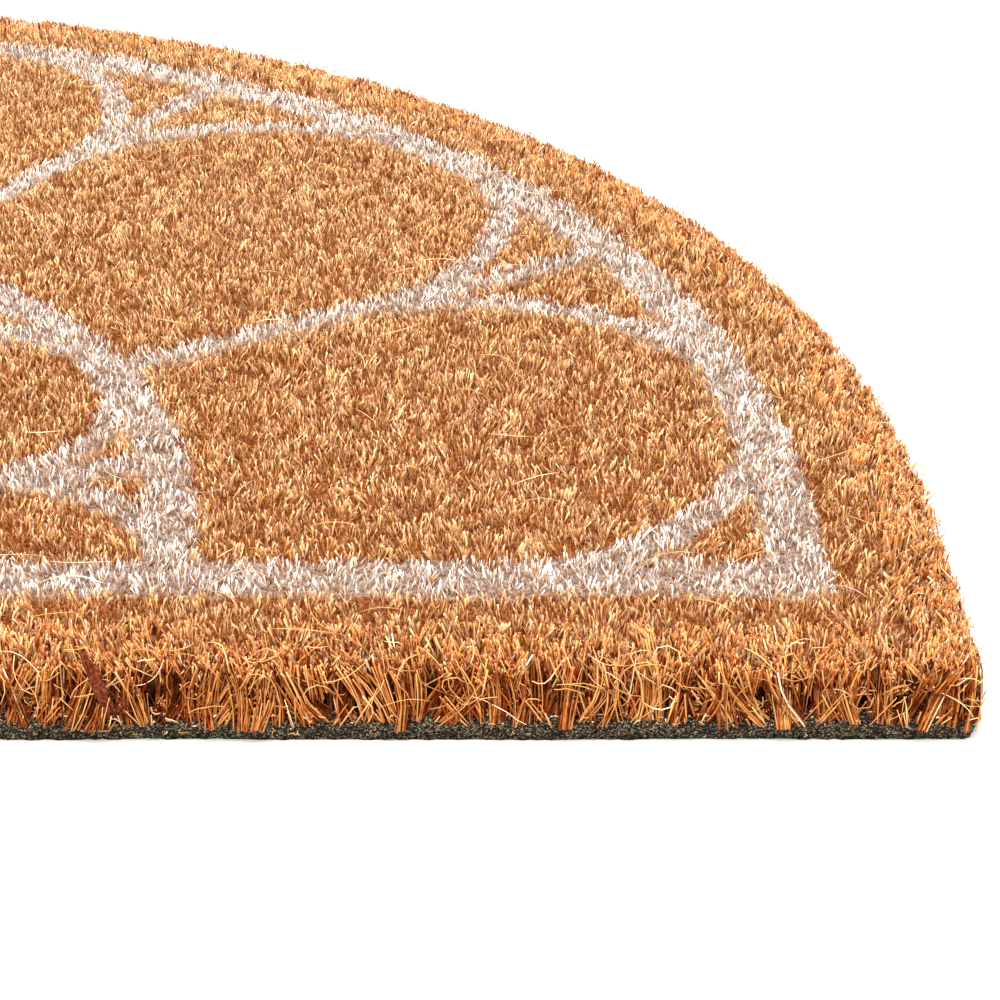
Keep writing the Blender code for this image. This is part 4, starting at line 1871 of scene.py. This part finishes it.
@dataclass
class FibreCrumbs:
    """Short bits of cut fibre that lie on the backing's ledge and cling to its cut face."""

    outline: Outline
    count: int = 2000
    on_ledge: float = 0.45  # The share that lies on the ledge
    width: float = 0.18 * MM
    widths: Range = (0.7, 1.6)
    half: Range = (0.15 * MM, 1.4 * MM)  # The shortest and longest half length
    bow: float = 0.5  # How far a bit bows, per unit of its half length
    level: float = 0.6  # How nearly level the bits lie, from 0 for level to 1 for any way
    tones: Range = (0.62, 0.92)
    over_ledge: float = 0.12 * MM  # How far over the backing's top those on the ledge lie
    ledge_insets: Range = (0.2 * MM, 2.5 * MM)  # How far in of the cut side they lie
    # The lowest and highest on the face, per unit of the backing's thickness
    face_heights: Range = (0.15, 0.95)
    face_top: float = 0.5 * MM  # How far below the top the side is read at most
    stand_out: float = 0.08 * MM  # How far those on the face stand out of it
    over_floor: float = 0.25 * MM  # How far over the floor every bit stays
    seed: int = 61

    def build(self, material: bpy.types.Material) -> bpy.types.Object:
        """Build the crumbs.

        Args:
            material: the coir.

        Returns:
            The crumbs as one piece.
        """
        rng = np.random.default_rng(self.seed)
        count = self.count
        s = rng.uniform(0, self.outline.length, count)
        low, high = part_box("vinyl_backing")[0].z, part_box("vinyl_backing")[1].z
        on_ledge = rng.uniform(0, 1, count) < self.on_ledge
        on_face = low + rng.uniform(*self.face_heights, count) * (high - low)
        z = np.where(on_ledge, high + self.over_ledge, on_face)
        side = Solid("vinyl_backing").edge(self.outline, s, np.minimum(z, high - self.face_top))
        inset = np.where(on_ledge, side + rng.uniform(*self.ledge_insets, count), side - self.stand_out)
        places = self.outline.walk(s)
        middle = np.column_stack([places.inside(inset), z])
        heading = rng.uniform(0, math.pi, count)
        along, out = places.level_forward, places.level_out
        other = np.where(on_ledge[:, None], out, UP)
        ahead = along * np.cos(heading)[:, None] + other * (np.sin(heading) * self.level)[:, None]
        aside = other * np.cos(heading)[:, None] - along * np.sin(heading)[:, None]
        half = np.exp(rng.uniform(*np.log(self.half), count))[:, None]
        bow = aside * half * rng.normal(0, self.bow, count)[:, None]
        paths = np.stack([middle - ahead * half, middle + bow, middle + ahead * half], 1)
        paths[..., 2] = np.clip(paths[..., 2], low + self.over_floor, None)
        width = self.width * rng.uniform(*self.widths, count)[:, None] * np.ones(paths.shape[1])
        facing = np.where(on_ledge[:, None], UP, out) + OFF_AXIS
        strands = RoundStrand().make(paths, width, facing, rng.uniform(*self.tones, count), rng)
        return strands.piece("fibre_crumbs", material)


@dataclass
class PithFlakes:
    """Flakes of husk pith caught in the pile: a long strip in the front's face, and small bits all over."""

    outline: Outline
    width: float = 1.0 * MM
    points: int = 5
    sides: int = 5
    crumbled: float = 0.12 * MM  # How far a flake's surface crumbles
    strip: float = 182 * MM  # How far right of the middle the long strip hangs
    strip_lean: float = -0.31  # How far it leans along the rim, per unit of height
    threads: int = 4  # How many threads of pith make the strip
    thread_step: float = 0.7  # How far apart they are, per unit of width
    thread_heights: Range = (11 * MM, 14.5 * MM)
    thread_widths: Range = (0.9, 1.3)
    thread_foot: float = 0.4 * MM  # How far under the pile's foot they start
    rim_bits: int = 66  # How many bits hang in the rim
    bit_heights: Range = (1 * MM, 4.5 * MM)
    bit_widths: Range = (0.3, 0.9)  # For the bits on the top too
    bit_lean: float = 0.7  # How far bits lean along the rim, likewise
    bit_top: float = 5 * MM  # How far under the pile's top the highest starts
    crumbs: int = 12  # How many of these lie at the strip's foot
    crumb_shift: Range = (1 * MM, 5 * MM)  # How far beside the strip
    crumb_foot: float = 0.3 * MM
    rim_inset: float = 0.4 * MM  # How far inside the edge what hangs in the rim is
    lean_in: float = 0.25  # How fast it leans in near the top
    leaning: float = 6 * MM  # How far below the top that begins
    top_bits: int = 40
    top_spacing: float = 8 * MM
    top_inset: float = 9 * MM
    top_lengths: Range = (1 * MM, 3.5 * MM)
    top_depths: Range = (0.3 * MM, 1.3 * MM)  # How far under the pile's top they lie
    seed: int = 71

    def build(self) -> bpy.types.Object:
        """Build the flakes as one piece.

        Returns:
            The piece.
        """
        rng = np.random.default_rng(self.seed)
        steps = np.linspace(0, 1, self.points)
        paths = np.concatenate([self.in_rim(rng, steps), self.on_top(rng, steps)])
        count = len(paths)
        share = np.where(
            np.arange(count) < self.threads, rng.uniform(*self.thread_widths, count),
            rng.uniform(*self.bit_widths, count))
        thinnest = 0.25
        width = self.width * share[:, None] * np.sqrt(np.clip(4 * steps * (1 - steps), thinnest, 1.0))
        facing = unit(rng.normal(0, 1, (count, 3)))
        flakes = RoundStrand(sides=self.sides).make(paths, width, facing, np.zeros(count), rng)
        flakes.points += rng.normal(0, self.crumbled, flakes.points.shape)
        return flakes.piece("pith_flakes", HuskPith().build())

    def in_rim(self, rng: Rng, steps: Array) -> Array:
        """Lay out the strip and the bits that hang in the rim.

        Args:
            rng: seeded randomness.
            steps: where a flake's points lie along it, from 0 to 1.

        Returns:
            One row of points for each thread and bit.
        """
        low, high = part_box("coir_pile")
        threads, bits = self.threads, self.rim_bits
        strip = self.strip + self.outline.radius - self.outline.corner
        shift = (np.arange(threads) - threads / 2) * self.thread_step * self.width
        s = np.concatenate([strip + shift, rng.uniform(0, self.outline.length, bits)])
        fallen = threads + np.arange(self.crumbs)
        s[fallen] = strip + rng.uniform(*self.crumb_shift, self.crumbs)
        tall = np.concatenate([
            rng.uniform(*self.thread_heights, threads), rng.uniform(*self.bit_heights, bits)])
        foot = np.concatenate([
            np.full(threads, low.z - self.thread_foot), rng.uniform(low.z, high.z - self.bit_top, bits)])
        foot[fallen] = low.z - self.crumb_foot
        lean = np.concatenate([np.full(threads, self.strip_lean), rng.normal(0, self.bit_lean, bits)])
        z = foot[:, None] + tall[:, None] * steps
        across = lean[:, None] * tall[:, None] * (steps - 0.5)
        inset = self.rim_inset + self.lean_in * np.maximum(z - (high.z - self.leaning), 0.0)
        return np.concatenate([self.outline.walk(s).at(across, inset), z[..., None]], -1)

    def on_top(self, rng: Rng, steps: Array) -> Array:
        """Lay out the bits that lie on the top.

        Args:
            rng: seeded randomness.
            steps: where a flake's points lie along it, from 0 to 1.

        Returns:
            One row of points for each bit.
        """
        places = tuft_places(self.outline, self.top_spacing, self.top_inset, rng)
        places = places[rng.permutation(len(places))[:self.top_bits]]
        count = len(places)
        turn = rng.uniform(0, TURN, count)
        ahead = np.stack([np.cos(turn), np.sin(turn)], -1) * rng.uniform(*self.top_lengths, count)[:, None]
        flat = places[:, None] + ahead[:, None] * steps[:, None]
        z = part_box("coir_pile")[1].z - rng.uniform(*self.top_depths, count)[:, None] + 0 * steps
        return np.concatenate([flat, z[..., None]], -1)


@dataclass(frozen=True)
class Studio:
    """A pale floor, a bright even room and one large soft lamp, with the camera low at the mat's front."""

    floor_size: float = 6.0
    floor_colour: str = "C6C6C4"
    floor_roughness: float = 0.9
    sky_strength: float = 1.3
    lamp_size: Range = (2.4, 1.8)
    lamp_power: float = 104.0  # In watts
    lamp_place: tuple[float, float, float] = (-0.1, -0.5, 1.60)
    lamp_aim: tuple[float, float, float] = (0.15, 0.0, 0.0)  # What the lamp points at
    camera_place: tuple[float, float, float] = (0.2576, -0.5688, 0.2590)
    camera_tilt: float = 29.43  # How far the camera looks down, in degrees
    lens: float = 83.0  # The focal length, in millimetres
    sensor: float = 36.0  # The sensor's width, in millimetres
    nearest: float = 0.01

    def build(self) -> None:
        """Build the floor, the lights and the camera."""
        self.lay_floor()
        self.light()
        self.set_camera()

    def lay_floor(self) -> None:
        """Lay the floor under the mat."""
        half = self.floor_size / 2
        corners = [(-half, -half, 0), (half, -half, 0), (half, half, 0), (-half, half, 0)]
        mesh = bpy.data.meshes.new("studio_floor")
        mesh.from_pydata(corners, [], [(0, 1, 2, 3)])
        floor = bpy.data.objects.new("studio_floor", mesh)
        bpy.context.scene.collection.objects.link(floor)
        material, tree = new_material("matt_white_paper")
        shader = add_node(tree, "ShaderNodeBsdfPrincipled", {
            "Base Color": linear(self.floor_colour), "Roughness": self.floor_roughness})
        add_node(tree, "ShaderNodeOutputMaterial", {0: shader.outputs[0]})
        mesh.materials.append(material)

    def light(self) -> None:
        """Light the room evenly, with one large lamp above the front left."""
        world = bpy.data.worlds.new("bright_room")
        world.use_nodes = True
        sky = world.node_tree.nodes["Background"]
        sky.inputs["Color"].default_value = linear("FFFFFF")
        sky.inputs["Strength"].default_value = self.sky_strength
        bpy.context.scene.world = world
        lamp = bpy.data.lights.new("soft_lamp", "AREA")
        lamp.shape = "RECTANGLE"
        lamp.size, lamp.size_y = self.lamp_size
        lamp.energy = self.lamp_power
        place = Vector(self.lamp_place)
        lamp_object = bpy.data.objects.new("soft_lamp", lamp)
        lamp_object.location = place
        lamp_object.rotation_euler = (Vector(self.lamp_aim) - place).to_track_quat("-Z", "Y").to_euler()
        bpy.context.scene.collection.objects.link(lamp_object)
        bpy.context.scene.view_settings.view_transform = "Standard"

    def set_camera(self) -> None:
        """Set the camera at the photograph's angle."""
        camera = bpy.data.cameras.new("camera")
        camera.sensor_width = self.sensor
        camera.lens = self.lens
        camera.clip_start = self.nearest
        camera_object = bpy.data.objects.new("camera", camera)
        camera_object.location = self.camera_place
        camera_object.rotation_euler = (math.radians(90 - self.camera_tilt), 0.0, 0.0)
        bpy.context.scene.collection.objects.link(camera_object)
        bpy.context.scene.camera = camera_object


def main() -> None:
    """Build the studio and the mat on its frame."""
    logging.basicConfig(level=logging.INFO, format="%(message)s")
    outline = Outline.of_node("vinyl_backing")
    line_work = LineWork(outline)
    coir = ShearedCoir().build()
    tips = ShearedCoir.of_tips().build()

    Studio().build()
    backing = Backing(outline)
    slab = backing.build()
    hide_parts("vinyl_backing")

    pile_bed = PileBed(outline, line_work)
    bed = pile_bed.build()
    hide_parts("coir_pile")

    top = PileTop(outline, Solid("coir_pile"))
    pile = [bed]
    pile += TipField(outline, line_work, pile_bed, top).build(tips)
    pile += RimBrush(outline, backing, pile_bed, top).build(coir)
    pile += SplayedStrands(outline, top).build(coir)
    pile += LooseFibres(outline, line_work).build(coir)
    pile.append(FibreCrumbs(outline).build(coir))
    pile.append(PithFlakes(outline).build())
    total = 0
    for piece in [slab] + pile:
        piece.data.calc_loop_triangles()
        total += len(piece.data.loop_triangles)
        log.info("%s: %d triangles, %d so far", piece.name, len(piece.data.loop_triangles), total)


if __name__ == "__main__":
    main()
